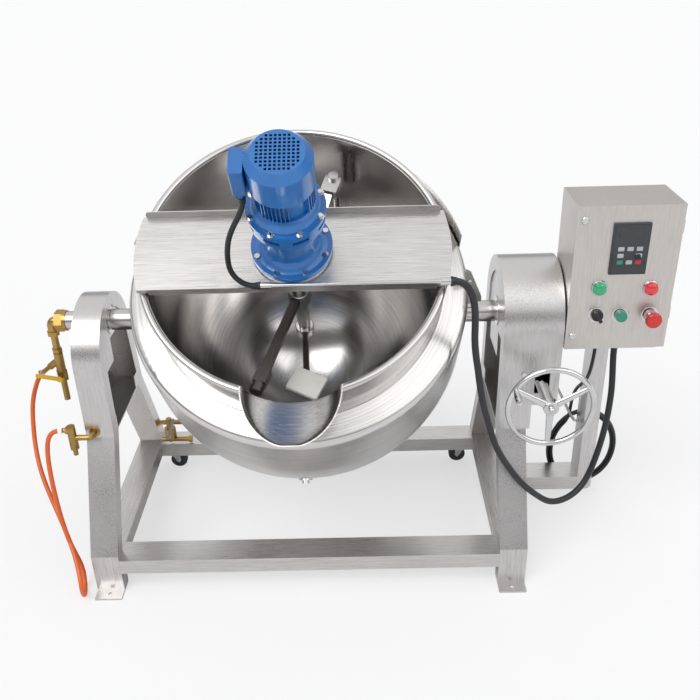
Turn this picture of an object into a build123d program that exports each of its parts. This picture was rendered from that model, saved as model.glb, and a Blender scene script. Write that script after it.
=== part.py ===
from build123d import *
import math
import os

os.makedirs("parts", exist_ok=True)

# Tilting steam jacketed kettle with a scraping agitator, all sizes in millimetres.
# The kettle hangs on two hollow trunnions and rests tipped forward by tip_angle. Steam comes in
# through the left trunnion, a handwheel and worm drive tip the kettle from the right one.
# World frame: +X to the right, +Y to the back, +Z up, origin on the floor midway between the two
# bolt holes of the front feet.

# ---------------------------------------------------------------- driving sizes
fit = 0.05                 # radial clearance of a running fit
seat = 0.3                 # clearance between welded or bolted faces that are curved

# kettle, measured from the trunnion axis along the kettle's own axis
tip_angle = 37             # degrees forward from upright
trunnion_height = 693
pot_radius = 350
pot_wall = 3
rim_height = 315
bead_radius = 8
pot_dish_height = -42      # centre of the hemispherical bottom
jacket_radius = 425.6
jacket_wall = 4
jacket_dish_height = -28
shoulder_height = 166      # outer edge of the jacket's shoulder
neck_height = 179          # where the shoulder meets the pot
shoulder_fillet = 21
guard_height = 71
guard_lap = 14              # how far the band laps the jacket's straight wall
guard_wall = 2
guard_half_angle = 75      # the guard band runs this far round each side of the back
drain_angle = -17          # the drain boss points this far below square to the kettle's axis
ear_thickness = 8
trunnion_radius = 28.5
journal_radius = 25
steam_bore = 12.5

# pouring spout
spout_half_width = 110
spout_depth = 74
spout_reach = 133
spout_wall = 3

# bridge over the pot and the drive on it
bridge_depth = 199
bridge_sheet = 2
bridge_rise = 14           # top face above the rim
bridge_overhang = 3        # past the rim bead
bridge_lip = 23
bridge_upstand = 24
pad_height = 10
reducer_flange_radius = 94
reducer_height = 165
motor_flange_radius = 87
motor_flange_height = 10
motor_core_radius = 56
motor_height = 98
fin_height = 10.5
fin_thickness = 2
cover_radius = 70
cover_wall = 1.5
cover_length = 90
cover_chamfer = 15
vent_size = 5.5
vent_pitch = 9
agitator_shaft_radius = 17.5

# frame
column_inner_face = 514.5    # from the kettle's axis to the inner face of a column
left_column_width = 74
right_column_width = 84
leg_width = 74
leg_depth = 42
column_sheet = 4
arch_radius = 150
left_arch_drop = 80       # left arch centre below the trunnion
column_bottom = 414
column_flare = 33          # how much wider the column's back is at its bottom
tube_wall = 3
beam_top = 108
beam_height = 45
front_beam_depth = 78
rear_beam_depth = 77
front_leg_lean = 144       # how far the front leg leans forward before it turns upright
front_knee_height = 122
rear_leg_lean = 153
foot_length = 34
foot_thickness = 5
foot_hole_radius = 5.5
caster_wheel_radius = 27
caster_wheel_width = 21
caster_trail = 20

# tilting drive
gear_case_width = 66
gear_case_bottom = 487
worm_drop = 137            # worm axis below the trunnion axis
worm_offset = 18           # worm axis out from the column's outer face
worm_radius = 17
gear_face = 21
gear_teeth = 40
gear_tooth_depth = 6
gear_clearance = 0.7
worm_shaft_radius = 8
sleeve_radius = 15
handwheel_radius = 112
handwheel_rim_radius = 7
handwheel_hub_radius = 19
handwheel_reach = 273      # wheel plane in front of the trunnion axis
grip_length = 57
grip_radius = 9

# control box
box_width = 252
box_depth = 155
box_height = 374
box_left = 668
box_bottom = 651
box_front = -147
box_sheet = 1.5
door_depth = 13
door_sheet = 1.5
post_width = 43
post_depth = 77
post_front = 40
post_left = 803
bracket_depth = 77
rod_radius = 4

# ---------------------------------------------------------------- base planes
foot_hole_setback = foot_length - 19.6
front_leg_face = -(arch_radius + front_leg_lean)
floor_shift = -(front_leg_face - foot_hole_setback)     # from the foot holes back to the trunnions
right_column_outer = column_inner_face + right_column_width
left_column_outer = column_inner_face + left_column_width

ground = Plane(origin=(0, floor_shift, 0))
side = Plane(origin=(0, floor_shift, 0), x_dir=(0, 1, 0), z_dir=(1, 0, 0))
front = Plane(origin=(0, floor_shift, 0), x_dir=(1, 0, 0), z_dir=(0, -1, 0))

tip = math.radians(tip_angle)
kettle = Plane(origin=(0, floor_shift, trunnion_height), x_dir=(1, 0, 0),
               z_dir=(0, -math.sin(tip), math.cos(tip)))
kettle_section = Plane(origin=kettle.origin, x_dir=(1, 0, 0), z_dir=-kettle.y_dir)
kettle_axis = Axis(kettle.origin, kettle.z_dir)


def save(part, name):
    part.label = name
    export_step(part, f"parts/{name}.step")


def on_kettle(x, y, h):
    """World point of a point given in the kettle's own frame."""
    return kettle.from_local_coords(Vector(x, y, h))


def placed(points):
    """Points given from the trunnions' foot point on the floor."""
    return [Vector(x, y + floor_shift, z) for x, y, z in points]


# ---------------------------------------------------------------- pouring spout
# Half-elliptic sections shrink towards the tip, and the top edge stays level with the rim.
def spout_solid(half_width, depth, reach, top=9.8):
    with BuildPart(mode=Mode.PRIVATE) as solid:
        start = pot_radius - 16.8
        for share in (0, 0.3, 0.55, 0.78, 0.93, 0.985):
            a = half_width * math.sqrt(1 - share**2)
            b = depth * (1 - share)**0.85
            with BuildSketch(Plane(origin=on_kettle(0, -start - share * (reach + 8), rim_height),
                                   x_dir=(1, 0, 0), z_dir=-kettle.y_dir)):
                with BuildLine():
                    bowl = EllipticalCenterArc((0, 0), a, b, start_angle=180, arc_size=180)
                    Polyline(bowl @ 1, (a, top), (-a, top), bowl @ 0)
                make_face()
        loft()
    return solid.part


spout_inner = spout_solid(spout_half_width, spout_depth, spout_reach)
spout_outer = spout_solid(spout_half_width + spout_wall, spout_depth + spout_wall,
                          spout_reach + spout_wall)

with BuildPart() as pouring_spout:
    add(spout_outer)
    add(spout_inner, mode=Mode.SUBTRACT)
    with BuildSketch(kettle.offset(rim_height - spout_depth - 28)):
        Circle(pot_radius + pot_wall + seat)
    extrude(amount=spout_depth + 56, mode=Mode.SUBTRACT)
    with BuildSketch(kettle.offset(rim_height)):
        Circle(2 * pot_radius)
    extrude(amount=28, mode=Mode.SUBTRACT)
save(pouring_spout.part, "pouring_spout")

# ---------------------------------------------------------------- inner pot with rolled rim
bead_centre = rim_height - bead_radius
with BuildPart() as inner_pot:
    with BuildSketch(kettle_section):
        with BuildLine():
            outer_r = pot_radius + pot_wall
            dish = CenterArc((0, pot_dish_height), outer_r, -90, 90)
            Line(dish @ 1, (outer_r, bead_centre))
            Line((outer_r, bead_centre), (pot_radius, bead_centre))
            Line((pot_radius, bead_centre), (pot_radius, pot_dish_height))
            inner_dish = CenterArc((0, pot_dish_height), pot_radius, -90, 90)
            Line(inner_dish @ 0, dish @ 0)
        make_face()
        with Locations((pot_radius + pot_wall / 3 + bead_radius, bead_centre)):
            Circle(bead_radius)
    revolve(axis=kettle_axis)
    # the bead stops at each side of the spout
    with BuildSketch(kettle.offset(bead_centre - bead_radius - 0.7)):
        Circle(pot_radius + 4 * bead_radius)
        Circle(pot_radius + pot_wall, mode=Mode.SUBTRACT)
        with Locations((0, -pot_radius)):
            Rectangle(2 * (spout_half_width + spout_wall + seat), pot_radius, mode=Mode.INTERSECT)
    extrude(amount=2 * bead_radius + 1.4, mode=Mode.SUBTRACT)
    add(spout_inner, mode=Mode.SUBTRACT)
save(inner_pot.part, "inner_pot")

# ---------------------------------------------------------------- steam jacket
neck_radius = pot_radius + pot_wall + seat
with BuildPart() as steam_jacket:
    with BuildSketch(kettle_section):
        with BuildLine():
            dish = CenterArc((0, jacket_dish_height), jacket_radius, -90, 90)
            wall = Line(dish @ 1, (jacket_radius, shoulder_height - shoulder_fillet))
            edge = CenterArc((jacket_radius - shoulder_fillet, shoulder_height - shoulder_fillet),
                             shoulder_fillet, 0, 80)
            Line(edge @ 1, (neck_radius, neck_height))
            Line((neck_radius, neck_height), (neck_radius, neck_height - jacket_wall))
            inner_edge = CenterArc((jacket_radius - shoulder_fillet,
                                    shoulder_height - shoulder_fillet),
                                   shoulder_fillet - jacket_wall, 0, 80)
            Line((neck_radius, neck_height - jacket_wall), inner_edge @ 1)
            Line(inner_edge @ 0, (jacket_radius - jacket_wall, jacket_dish_height))
            inner_dish = CenterArc((0, jacket_dish_height), jacket_radius - jacket_wall, -90, 90)
            Line(inner_dish @ 0, dish @ 0)
        make_face()
    revolve(axis=kettle_axis)
    # flat collar ring round the neck, where the shoulder is welded to the pot
    with BuildSketch(kettle.offset(neck_height - 2.8)):
        Circle(neck_radius + 9.8)
        Circle(neck_radius, mode=Mode.SUBTRACT)
    extrude(amount=7)
    # drain boss low on the front
    drain_out = (kettle.y_dir * -math.cos(math.radians(drain_angle))
                 + kettle.z_dir * math.sin(math.radians(drain_angle)))
    drain_seat = Plane(origin=on_kettle(0, 0, jacket_dish_height) + drain_out * (jacket_radius - 2),
                       x_dir=(1, 0, 0), z_dir=drain_out)
    for radius, height in ((18.2, 6.3), (9.8, 14.7)):
        with BuildSketch(drain_seat):
            Circle(radius)
        extrude(amount=height)
    # lifting ear above the right trunnion, a triangular plate with one hole
    with BuildSketch(kettle_section.offset(-ear_thickness / 2)):
        with BuildLine():
            r = jacket_radius
            Polyline((r - 1.4, 130.2), (r - 1.4, 42), (r + 43.4, 63), (r + 42, 81.2), (r + 2.8, 201.6), (r - 9.8, 214.2),
                     (r - 16.8, 208.6), (r - 8.4, 152.6), (r - 1.4, 130.2))
        make_face()
        with Locations((r + 4.2, 166.6)):
            Circle(5.6, mode=Mode.SUBTRACT)
    extrude(amount=ear_thickness)
save(steam_jacket.part, "steam_jacket")

# splash guard, a band on the jacket's wall round the back
guard_radius = jacket_radius + seat + guard_wall / 2
guard_base = shoulder_height - shoulder_fillet - guard_lap
with BuildPart() as rear_guard:
    with BuildSketch(kettle.offset(guard_base)):
        Circle(guard_radius + guard_wall / 2)
        Circle(guard_radius - guard_wall / 2, mode=Mode.SUBTRACT)
        with Locations((0, guard_radius * math.cos(math.radians(guard_half_angle)))):
            Rectangle(3 * guard_radius, 2 * guard_radius, align=(Align.CENTER, Align.MIN),
                      mode=Mode.INTERSECT)
    extrude(amount=guard_height)
save(rear_guard.part, "rear_guard")

# ---------------------------------------------------------------- trunnions
wheel_inner = right_column_outer + worm_offset - gear_face / 2
wheel_outer = wheel_inner + gear_face
union_face = left_column_outer + 45.5
for sign, name, end in ((-1, "trunnion_left", union_face + 14),
                        (1, "trunnion_right", wheel_outer + 8.4)):
    root = math.sqrt(jacket_radius**2 - trunnion_radius**2) + 1.05
    with BuildPart() as trunnion:
        with BuildSketch(side.offset(sign * (column_inner_face - 2))):
            with Locations((0, trunnion_height)):
                Circle(trunnion_radius)
        extrude(amount=-sign * (column_inner_face - 2 - root))
        with BuildSketch(side.offset(sign * root)):
            with Locations((0, trunnion_height)):
                Circle(journal_radius)
        extrude(amount=sign * (end - root))
        with BuildSketch(side.offset(sign * end)):
            with Locations((0, trunnion_height)):
                Circle(steam_bore)
        extrude(amount=-sign * (end - root - 21), mode=Mode.SUBTRACT)
        chamfer(trunnion.edges().filter_by(GeomType.CIRCLE).group_by(Axis.X)[-1 if sign > 0 else 0]
                .sort_by(SortBy.RADIUS)[-1], 1.4)
    save(trunnion.part, name)

# ---------------------------------------------------------------- bridge
bridge_top = rim_height + bridge_rise
bridge_radius = pot_radius + 2 * bead_radius + bridge_overhang
lip_half = math.sqrt((pot_radius - 4.2)**2 - (bridge_depth / 2)**2)
end_half = math.sqrt(bridge_radius**2 - (bridge_depth / 2)**2)
with BuildPart() as bridge:
    with BuildSketch(kettle.offset(bridge_top - bridge_sheet)):
        Circle(bridge_radius)
        Rectangle(2 * bridge_radius, bridge_depth, mode=Mode.INTERSECT)
        Circle(agitator_shaft_radius + 4.2, mode=Mode.SUBTRACT)
    extrude(amount=bridge_sheet)
    # folded front lip, deep between the pot walls and shallow where it rests on the rim
    with BuildSketch(kettle_section.offset(bridge_depth / 2 - bridge_sheet)):
        with BuildLine():
            Polyline((-end_half, bridge_top), (end_half, bridge_top), (end_half, rim_height + seat),
                     (lip_half, rim_height + seat), (lip_half, bridge_top - bridge_lip),
                     (-lip_half, bridge_top - bridge_lip), (-lip_half, rim_height + seat),
                     (-end_half, rim_height + seat), (-end_half, bridge_top))
        make_face()
    extrude(amount=bridge_sheet)
    # upstand along the back edge with rounded corners
    with BuildSketch(kettle_section.offset(-bridge_depth / 2)):
        with Locations((0, bridge_top - bridge_sheet)):
            RectangleRounded(2 * end_half - 14, 2 * bridge_upstand, 12.6)
        with Locations((0, bridge_top - bridge_sheet - 70)):
            Rectangle(4 * end_half, 140, mode=Mode.SUBTRACT)
    extrude(amount=bridge_sheet)
    # rear feet that carry the back edge on the rim
    with BuildSketch(kettle.offset(rim_height + seat)):
        with GridLocations(2 * (end_half - 9.8), 0, 2, 1):
            with Locations((0, bridge_depth / 2 - 8.4)):
                Rectangle(16.8, 14)
    extrude(amount=bridge_rise - bridge_sheet - seat)
    # machined pad below the reducer
    with BuildSketch(kettle.offset(bridge_top)):
        Circle(reducer_flange_radius - 2.8)
        Circle(agitator_shaft_radius + 4.2, mode=Mode.SUBTRACT)
    extrude(amount=pad_height)
save(bridge.part, "bridge")

# ---------------------------------------------------------------- reducer and motor
reducer_base = bridge_top + pad_height
reducer_top = reducer_base + reducer_height - motor_flange_height
with BuildPart() as gear_reducer:
    with BuildSketch(kettle_section):
        with BuildLine():
            r0 = reducer_flange_radius
            Polyline((0, reducer_base), (r0, reducer_base), (r0, reducer_base + 14),
                     (r0 - 11.2, reducer_base + 14))
            foot = RadiusArc((r0 - 11.2, reducer_base + 14), (r0 - 32.2, reducer_base + 43.4), 32.2)
            Polyline(foot @ 1, (r0 - 36.4, reducer_base + 82.6), (r0 - 30.8, reducer_base + 98),
                     (r0 - 19.6, reducer_base + 106.4), (r0 - 19.6, reducer_base + 119),
                     (motor_flange_radius - 2.8, reducer_base + 124.6),
                     (motor_flange_radius - 2.8, reducer_top), (0, reducer_top), (0, reducer_base))
        make_face()
    revolve(axis=kettle_axis)
    # recessed windows round the coupling housing
    for k in range(8):
        angle = 22.5 + 45 * k
        window = Plane(kettle.offset(reducer_base + 135.8).location
                       * Rot(0, 0, angle) * Pos(motor_flange_radius - 9.8, 0, 0))
        with BuildSketch(window):
            Rectangle(16.8, 36.4)
        extrude(amount=reducer_top - reducer_base - 145.6, mode=Mode.SUBTRACT)
    # output bore that carries the agitator shaft
    with BuildSketch(kettle.offset(reducer_base)):
        Circle(agitator_shaft_radius + fit)
    extrude(amount=42, mode=Mode.SUBTRACT)
save(gear_reducer.part, "gear_reducer")

motor_base = reducer_top
body_base = motor_base + motor_flange_height
body_top = body_base + motor_height
fan_shaft_radius = 6.3
with BuildPart() as motor_body:
    with BuildSketch(kettle_section):
        with BuildLine():
            r1 = motor_flange_radius
            Polyline((0, motor_base), (r1, motor_base), (r1, body_base), (r1 - 9.8, body_base))
            bell = RadiusArc((r1 - 9.8, body_base), (motor_core_radius + 7, body_base + 23.8), -29.4)
            Polyline(bell @ 1, (motor_core_radius + 7, body_base + 28),
                     (motor_core_radius, body_base + 28), (motor_core_radius, body_top - 11.2),
                     (cover_radius - cover_wall - seat, body_top - 11.2),
                     (cover_radius - cover_wall - seat, body_top), (21, body_top), (21, body_top + 4.2),
                     (fan_shaft_radius, body_top + 4.2), (fan_shaft_radius, body_top + 36.4),
                     (0, body_top + 36.4), (0, motor_base))
        make_face()
    revolve(axis=kettle_axis)
    # cooling fins in groups, with a plain strip at the right front and at the terminal box
    for group_angle, count in ((-105, 8), (45, 9), (110, 8), (-20, 5)):
        for k in range(count):
            angle = group_angle + (k - (count - 1) / 2) * 7.5
            fin = Plane(kettle.offset(body_base + 26.6).location
                        * Rot(0, 0, angle) * Pos(motor_core_radius + fin_height / 2 - 0.7, 0, 0))
            with BuildSketch(fin):
                Rectangle(fin_height + 1.4, fin_thickness)
            extrude(amount=motor_height - 35)
save(motor_body.part, "motor_body")

cover_base = body_top - 9.8
cover_top = cover_base + cover_length
with BuildPart() as fan_cover:
    with BuildSketch(kettle_section):
        with BuildLine():
            Polyline((cover_radius - cover_wall, cover_base), (cover_radius, cover_base),
                     (cover_radius, cover_top - 19.6), (cover_radius - cover_chamfer, cover_top),
                     (0, cover_top), (0, cover_top - cover_wall),
                     (cover_radius - cover_chamfer - 0.7, cover_top - cover_wall),
                     (cover_radius - cover_wall, cover_top - 19.6 - 0.7),
                     (cover_radius - cover_wall, cover_base))
        make_face()
    revolve(axis=kettle_axis)
    # square vents in a round field
    reach = cover_radius - cover_chamfer - 7
    rows = int(reach // vent_pitch)
    spots = [((i + 0.5) * vent_pitch, (j + 0.5) * vent_pitch)
             for i in range(-rows, rows) for j in range(-rows, rows)
             if math.hypot((i + 0.5) * vent_pitch, (j + 0.5) * vent_pitch) < reach]
    with BuildSketch(kettle.offset(cover_top)):
        with Locations(*spots):
            Rectangle(vent_size, vent_size)
    extrude(amount=-2 * cover_wall, mode=Mode.SUBTRACT)
save(fan_cover.part, "fan_cover")

with BuildPart() as motor_fan:
    with BuildSketch(kettle.offset(body_top + 9.8)):
        Circle(18.2)
        Circle(fan_shaft_radius + fit, mode=Mode.SUBTRACT)
    extrude(amount=23.8)
    for k in range(6):
        blade = Plane(kettle.offset(body_top + 12.6).location * Rot(0, 0, 60 * k) * Pos(36.4, 0, 0))
        with BuildSketch(blade):
            Rectangle(42, 2.1)
        extrude(amount=19.6)
save(motor_fan.part, "motor_fan")

# terminal box on the left of the motor, with the cable gland in its underside
terminal_base = body_top - 15.4
terminal_height = 72.8
terminal_depth = 29.4
terminal_middle = -cover_radius - seat - terminal_depth / 2
gland_line = -21
with BuildPart() as terminal_box:
    with BuildSketch(Plane(kettle.offset(terminal_base).location * Pos(terminal_middle, 0, 0))):
        Rectangle(terminal_depth, 64.4)
    extrude(amount=terminal_height)
    fillet(terminal_box.edges().filter_by(kettle_axis), 4.2)
    # neck below the box, curved to fit the motor
    with BuildSketch(kettle.offset(terminal_base - 23.8)):
        with Locations((terminal_middle + 7, 11.2)):
            Rectangle(-terminal_middle - 7, 33.6, align=(Align.MIN, Align.CENTER))
        Circle(motor_core_radius + fin_height + 0.7, mode=Mode.SUBTRACT)
    extrude(amount=24.5)
    gland = Plane(kettle.offset(terminal_base).location * Pos(terminal_middle, gland_line, 0))
    with BuildSketch(gland):
        RegularPolygon(9.8, 6)
    extrude(amount=-8.4)
    with BuildSketch(gland):
        Circle(7.7)
    extrude(amount=-16.8)
save(terminal_box.part, "terminal_box")

# ---------------------------------------------------------------- agitator
hub_radius = 29.4
lower_shaft_end = -91
arm_size = 22.4
arm_root_height = 121.8
front_arm_tip = Vector(-95.9, -293.3, 175)
post_spot = Vector(92.4, 280, 0)
post_top = 235.9
post_radius = 14
with BuildPart() as agitator_shaft:
    with BuildSketch(kettle.offset(lower_shaft_end)):
        Circle(agitator_shaft_radius)
    extrude(amount=reducer_base + 39.2 - lower_shaft_end)
    for low, high, radius in ((arm_root_height - 22.4, arm_root_height + 23.8, hub_radius),
                              (lower_shaft_end, lower_shaft_end + 32.2, hub_radius - 4.2)):
        with BuildSketch(kettle.offset(low)):
            Circle(radius)
        extrude(amount=high - low)
    chamfer(agitator_shaft.edges().filter_by(GeomType.CIRCLE)
            .filter_by(lambda e: e.radius > agitator_shaft_radius + 0.7), 2.1)
save(agitator_shaft.part, "agitator_shaft")


def arm_plane(start, end):
    """Plane at the arm's root whose normal runs along the arm."""
    a, b = on_kettle(*start), on_kettle(*end)
    along = (b - a).normalized()
    return Plane(origin=a, x_dir=along.cross(kettle.z_dir).normalized(), z_dir=along), (b - a).length


hub_gap = hub_radius + seat
with BuildPart() as scraper_arm:
    arm, length = arm_plane((0, 0, arm_root_height), front_arm_tip)
    with BuildSketch(arm):
        RectangleRounded(arm_size, arm_size, 2.1)
    extrude(amount=length - 42)
    with BuildSketch(arm.offset(length - 67.2)):
        RectangleRounded(arm_size + 9.8, arm_size + 9.8, 2.8)
    extrude(amount=43.4)
    with BuildSketch(arm.offset(length - 23.8)):
        Circle(16.1)
    extrude(amount=23.8)
    chamfer(scraper_arm.faces().sort_by(Axis(arm.origin, arm.z_dir))[-1].edges(), 1.4)
    with BuildSketch(kettle.offset(arm_root_height - 42)):
        Circle(hub_gap)
    extrude(amount=84, mode=Mode.SUBTRACT)
save(scraper_arm.part, "scraper_arm")

block_spot = post_spot * 0.93
with BuildPart() as scraper_post:
    arm, length = arm_plane((0, 0, arm_root_height), (block_spot.X, block_spot.Y, post_top - 28))
    with BuildSketch(arm):
        RectangleRounded(arm_size, arm_size, 2.1)
    extrude(amount=length)
    turn = math.degrees(math.atan2(post_spot.Y, post_spot.X))
    with BuildSketch(Plane(kettle.offset(post_top - 40.6).location
                           * Pos(block_spot.X, block_spot.Y, 0) * Rot(0, 0, turn))):
        RectangleRounded(49, 42, 3.5)
    extrude(amount=30.8)
    with BuildSketch(Plane(kettle.offset(post_top - 154).location
                           * Pos(post_spot.X, post_spot.Y, 0))):
        Circle(post_radius)
    extrude(amount=154)
    chamfer(scraper_post.faces().sort_by(kettle_axis)[-1].edges(), 1.4)
    with BuildSketch(kettle.offset(arm_root_height - 42)):
        Circle(hub_gap)
    extrude(amount=112, mode=Mode.SUBTRACT)
save(scraper_post.part, "scraper_post")

# slanted paddle near the front of the bottom, a plastic blade in a steel holder on a lower arm
paddle_spot = Vector(16.8, -231, 70)
paddle_turn = -25
paddle_plane = Plane(kettle.offset(paddle_spot.Z).location * Pos(paddle_spot.X, paddle_spot.Y, 0)
                     * Rot(0, 0, paddle_turn) * Rot(-12, 0, 0))
with BuildPart() as paddle_blade:
    with BuildSketch(paddle_plane):
        RectangleRounded(85.4, 70, 5.6)
    extrude(amount=9.8)
    chamfer(paddle_blade.faces().sort_by(Axis(paddle_plane.origin, paddle_plane.z_dir))[-1].edges(), 2.1)
save(paddle_blade.part, "paddle_blade")

with BuildPart() as paddle_holder:
    with BuildSketch(paddle_plane.offset(-5.6)):
        with Locations((-12.6, 4.2)):
            RectangleRounded(49, 53.2, 4.2)
    extrude(amount=5.6)
    arm, length = arm_plane((0, 0, lower_shaft_end + 16.1), (paddle_spot.X, paddle_spot.Y + 5.6, 57.4))
    with BuildSketch(arm):
        Circle(9.1)
    extrude(amount=length)
    with BuildSketch(paddle_plane):
        Rectangle(280, 280)
    extrude(amount=63, mode=Mode.SUBTRACT)
    with BuildSketch(kettle.offset(lower_shaft_end - 14)):
        Circle(hub_radius - 4.2 + seat)
    extrude(amount=84, mode=Mode.SUBTRACT)
save(paddle_holder.part, "paddle_holder")

# ---------------------------------------------------------------- motor cable and conduit
def tube_route(points, name):
    """Straight runs joined by the largest tangent arcs that fit, with the arc radii printed."""
    radii = []
    for a, b, c in zip(points, points[1:], points[2:]):
        a, b, c = Vector(*a), Vector(*b), Vector(*c)
        turn = math.radians((b - a).get_angle(c - b))
        radii.append(0.45 * min((b - a).length, (c - b).length) / math.tan(turn / 2))
    print(name, "arc radii", [round(r) for r in radii])
    return radii


def hose(points, radius, name):
    """Round hose or cable along a route of points."""
    radii = tube_route(points, name)
    with BuildPart(mode=Mode.PRIVATE) as tube:
        with BuildLine() as route:
            FilletPolyline(*points, radius=radii)
        with BuildSketch(Plane(origin=route.wire() @ 0, z_dir=route.wire() % 0)):
            Circle(radius)
        sweep(path=route.wire())
    expected = math.pi * radius**2 * route.wire().length
    print(name, "volume over section times length", round(tube.part.volume / expected, 4))
    return tube.part


motor_cable_radius = 6.3
ferrule_radius = 8.05
conduit_radius = 4.9
conduit_line = -bridge_depth / 2
conduit_level = bridge_top + ferrule_radius + seat
ferrule_start = -70
gland_tip = Vector(terminal_middle, gland_line, terminal_base - 16.8)
motor_cable_points = [on_kettle(*p) for p in (
    (gland_tip.X, gland_tip.Y, gland_tip.Z), (gland_tip.X, gland_tip.Y, gland_tip.Z - 28),
    (-96.6, -29.4, 513.8), (-112, -40.6, 490), (-124.6, -51.1, 464.8), (-132.3, -60.9, 435.4), (-135.8, -70.7, 404.6),
    (-134.4, -81.2, 375.2), (-121.1, -91.7, 352.1), (ferrule_start - 26.6, conduit_line, conduit_level),
    (ferrule_start, conduit_line, conduit_level))]
motor_cable = hose(motor_cable_points, motor_cable_radius, "motor_cable")
save(motor_cable, "motor_cable")

bridge_end_x = end_half + 4.2
ferrule_plane = Plane(origin=on_kettle(ferrule_start, conduit_line, conduit_level),
                      x_dir=kettle.y_dir, z_dir=(1, 0, 0))
with BuildPart() as cable_conduit:
    for start, length, radius in ((0, 25.2, ferrule_radius),
                                  (25.2, bridge_end_x - ferrule_start - 42, conduit_radius),
                                  (bridge_end_x - ferrule_start - 23.8, 23.8, ferrule_radius)):
        with BuildSketch(ferrule_plane.offset(start)):
            Circle(radius)
        extrude(amount=length)
save(cable_conduit.part, "cable_conduit")

# ---------------------------------------------------------------- worm drive
worm_height = trunnion_height - worm_drop
worm_x = right_column_outer + worm_offset
gear_tip = worm_drop - worm_radius - gear_clearance
with BuildPart() as worm_wheel:
    with BuildSketch(side.offset(wheel_inner)):
        with Locations((0, trunnion_height)):
            Circle(gear_tip)
    extrude(amount=gear_face)
    # tooth gaps, narrower towards the root
    for k in range(gear_teeth):
        angle = 360 / gear_teeth * k
        with BuildSketch(Plane(side.offset(wheel_inner).location * Pos(0, trunnion_height, 0)
                               * Rot(0, 0, angle) * Pos(gear_tip - gear_tooth_depth, 0, 0))):
            half = math.pi * gear_tip / gear_teeth / 2
            Polygon((0, -half * 0.5), (gear_tooth_depth + 1.4, -half * 1.25),
                    (gear_tooth_depth + 1.4, half * 1.25), (0, half * 0.5), align=None)
        extrude(amount=gear_face, mode=Mode.SUBTRACT)
    with BuildSketch(side.offset(wheel_inner)):
        with Locations((0, trunnion_height)):
            with PolarLocations(gear_tip * 0.6, 6):
                Circle(16.8)
    extrude(amount=gear_face, mode=Mode.SUBTRACT)
    with BuildSketch(side.offset(wheel_inner - 4.2)):
        with Locations((0, trunnion_height)):
            Circle(journal_radius + 16.8)
    extrude(amount=gear_face + 8.4)
    with BuildSketch(side.offset(wheel_inner - 14)):
        with Locations((0, trunnion_height)):
            Circle(journal_radius + fit)
    extrude(amount=gear_face + 28, mode=Mode.SUBTRACT)
save(worm_wheel.part, "worm_wheel")

worm_section = Plane(origin=(worm_x, floor_shift, worm_height), x_dir=(0, -1, 0), z_dir=(1, 0, 0))
worm_axis = Axis((worm_x, floor_shift, worm_height), (0, -1, 0))
worm_length = 91
block_spacing = 66.5         # bearing blocks this far in front of and behind the worm's middle
block_length = 18.2
with BuildPart() as worm_shaft:
    with BuildSketch(front.offset(-block_spacing - block_length)):
        with Locations((worm_x, worm_height)):
            Circle(worm_shaft_radius)
    extrude(amount=block_spacing + block_length + handwheel_reach + 12.6)
    with BuildSketch(front.offset(-worm_length / 2)):
        with Locations((worm_x, worm_height)):
            Circle(worm_radius)
    extrude(amount=worm_length)
    # thread grooves of the worm
    pitch = 2 * math.pi * (gear_tip - gear_tooth_depth / 2) / gear_teeth
    with BuildSketch(worm_section):
        for k in (-2, -1, 0, 1, 2):
            with Locations((k * pitch, worm_radius)):
                Trapezoid(pitch * 0.62, 9.8, 70, rotation=180)
    revolve(axis=worm_axis, mode=Mode.SUBTRACT)
    # polished sleeve between the gear case and the handwheel
    with BuildSketch(front.offset(arch_radius - 2.8)):
        with Locations((worm_x, worm_height)):
            Circle(sleeve_radius)
    extrude(amount=handwheel_reach - 15.4 - arch_radius + 2.8 - seat)
    chamfer(worm_shaft.faces().sort_by(Axis.Y)[0].edges(), 1.4)
save(worm_shaft.part, "worm_shaft")

wheel_plane = Plane(front.offset(handwheel_reach).location * Pos(worm_x, worm_height, 0))
rim_centre = handwheel_radius - handwheel_rim_radius
grip_angle = 150
grip_pin_radius = 3.5
with BuildPart() as handwheel:
    with BuildSketch(wheel_plane.offset(-15.4)):
        Circle(handwheel_hub_radius)
    extrude(amount=25.2)
    fillet(handwheel.faces().sort_by(Axis.Y)[0].edges(), 3.5)
    with BuildSketch(Plane(wheel_plane.location * Rot(90, 0, 0))):
        with Locations((rim_centre, 0)):
            Circle(handwheel_rim_radius)
    revolve(axis=Axis(wheel_plane.origin, (0, -1, 0)))
    for angle in (grip_angle, 30, 270):
        spoke = wheel_plane.location * Rot(0, 0, angle) * Rot(0, 90, 0)
        with BuildSketch(Plane(spoke).offset(handwheel_hub_radius - 4.2)):
            Ellipse(5.6, 9.8)
        with BuildSketch(Plane(spoke).offset(rim_centre - 2.1)):
            Ellipse(4.2, 6.3)
        loft()
    with BuildSketch(wheel_plane.offset(-28)):
        Circle(worm_shaft_radius + fit)
    extrude(amount=56, mode=Mode.SUBTRACT)
    grip_plane = Plane(wheel_plane.location * Rot(0, 0, grip_angle) * Pos(rim_centre, 0, 0))
    with BuildSketch(grip_plane.offset(handwheel_rim_radius / 2)):
        Circle(grip_pin_radius)
    extrude(amount=handwheel_rim_radius / 2 + grip_length + 4.2)
save(handwheel.part, "handwheel")

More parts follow.
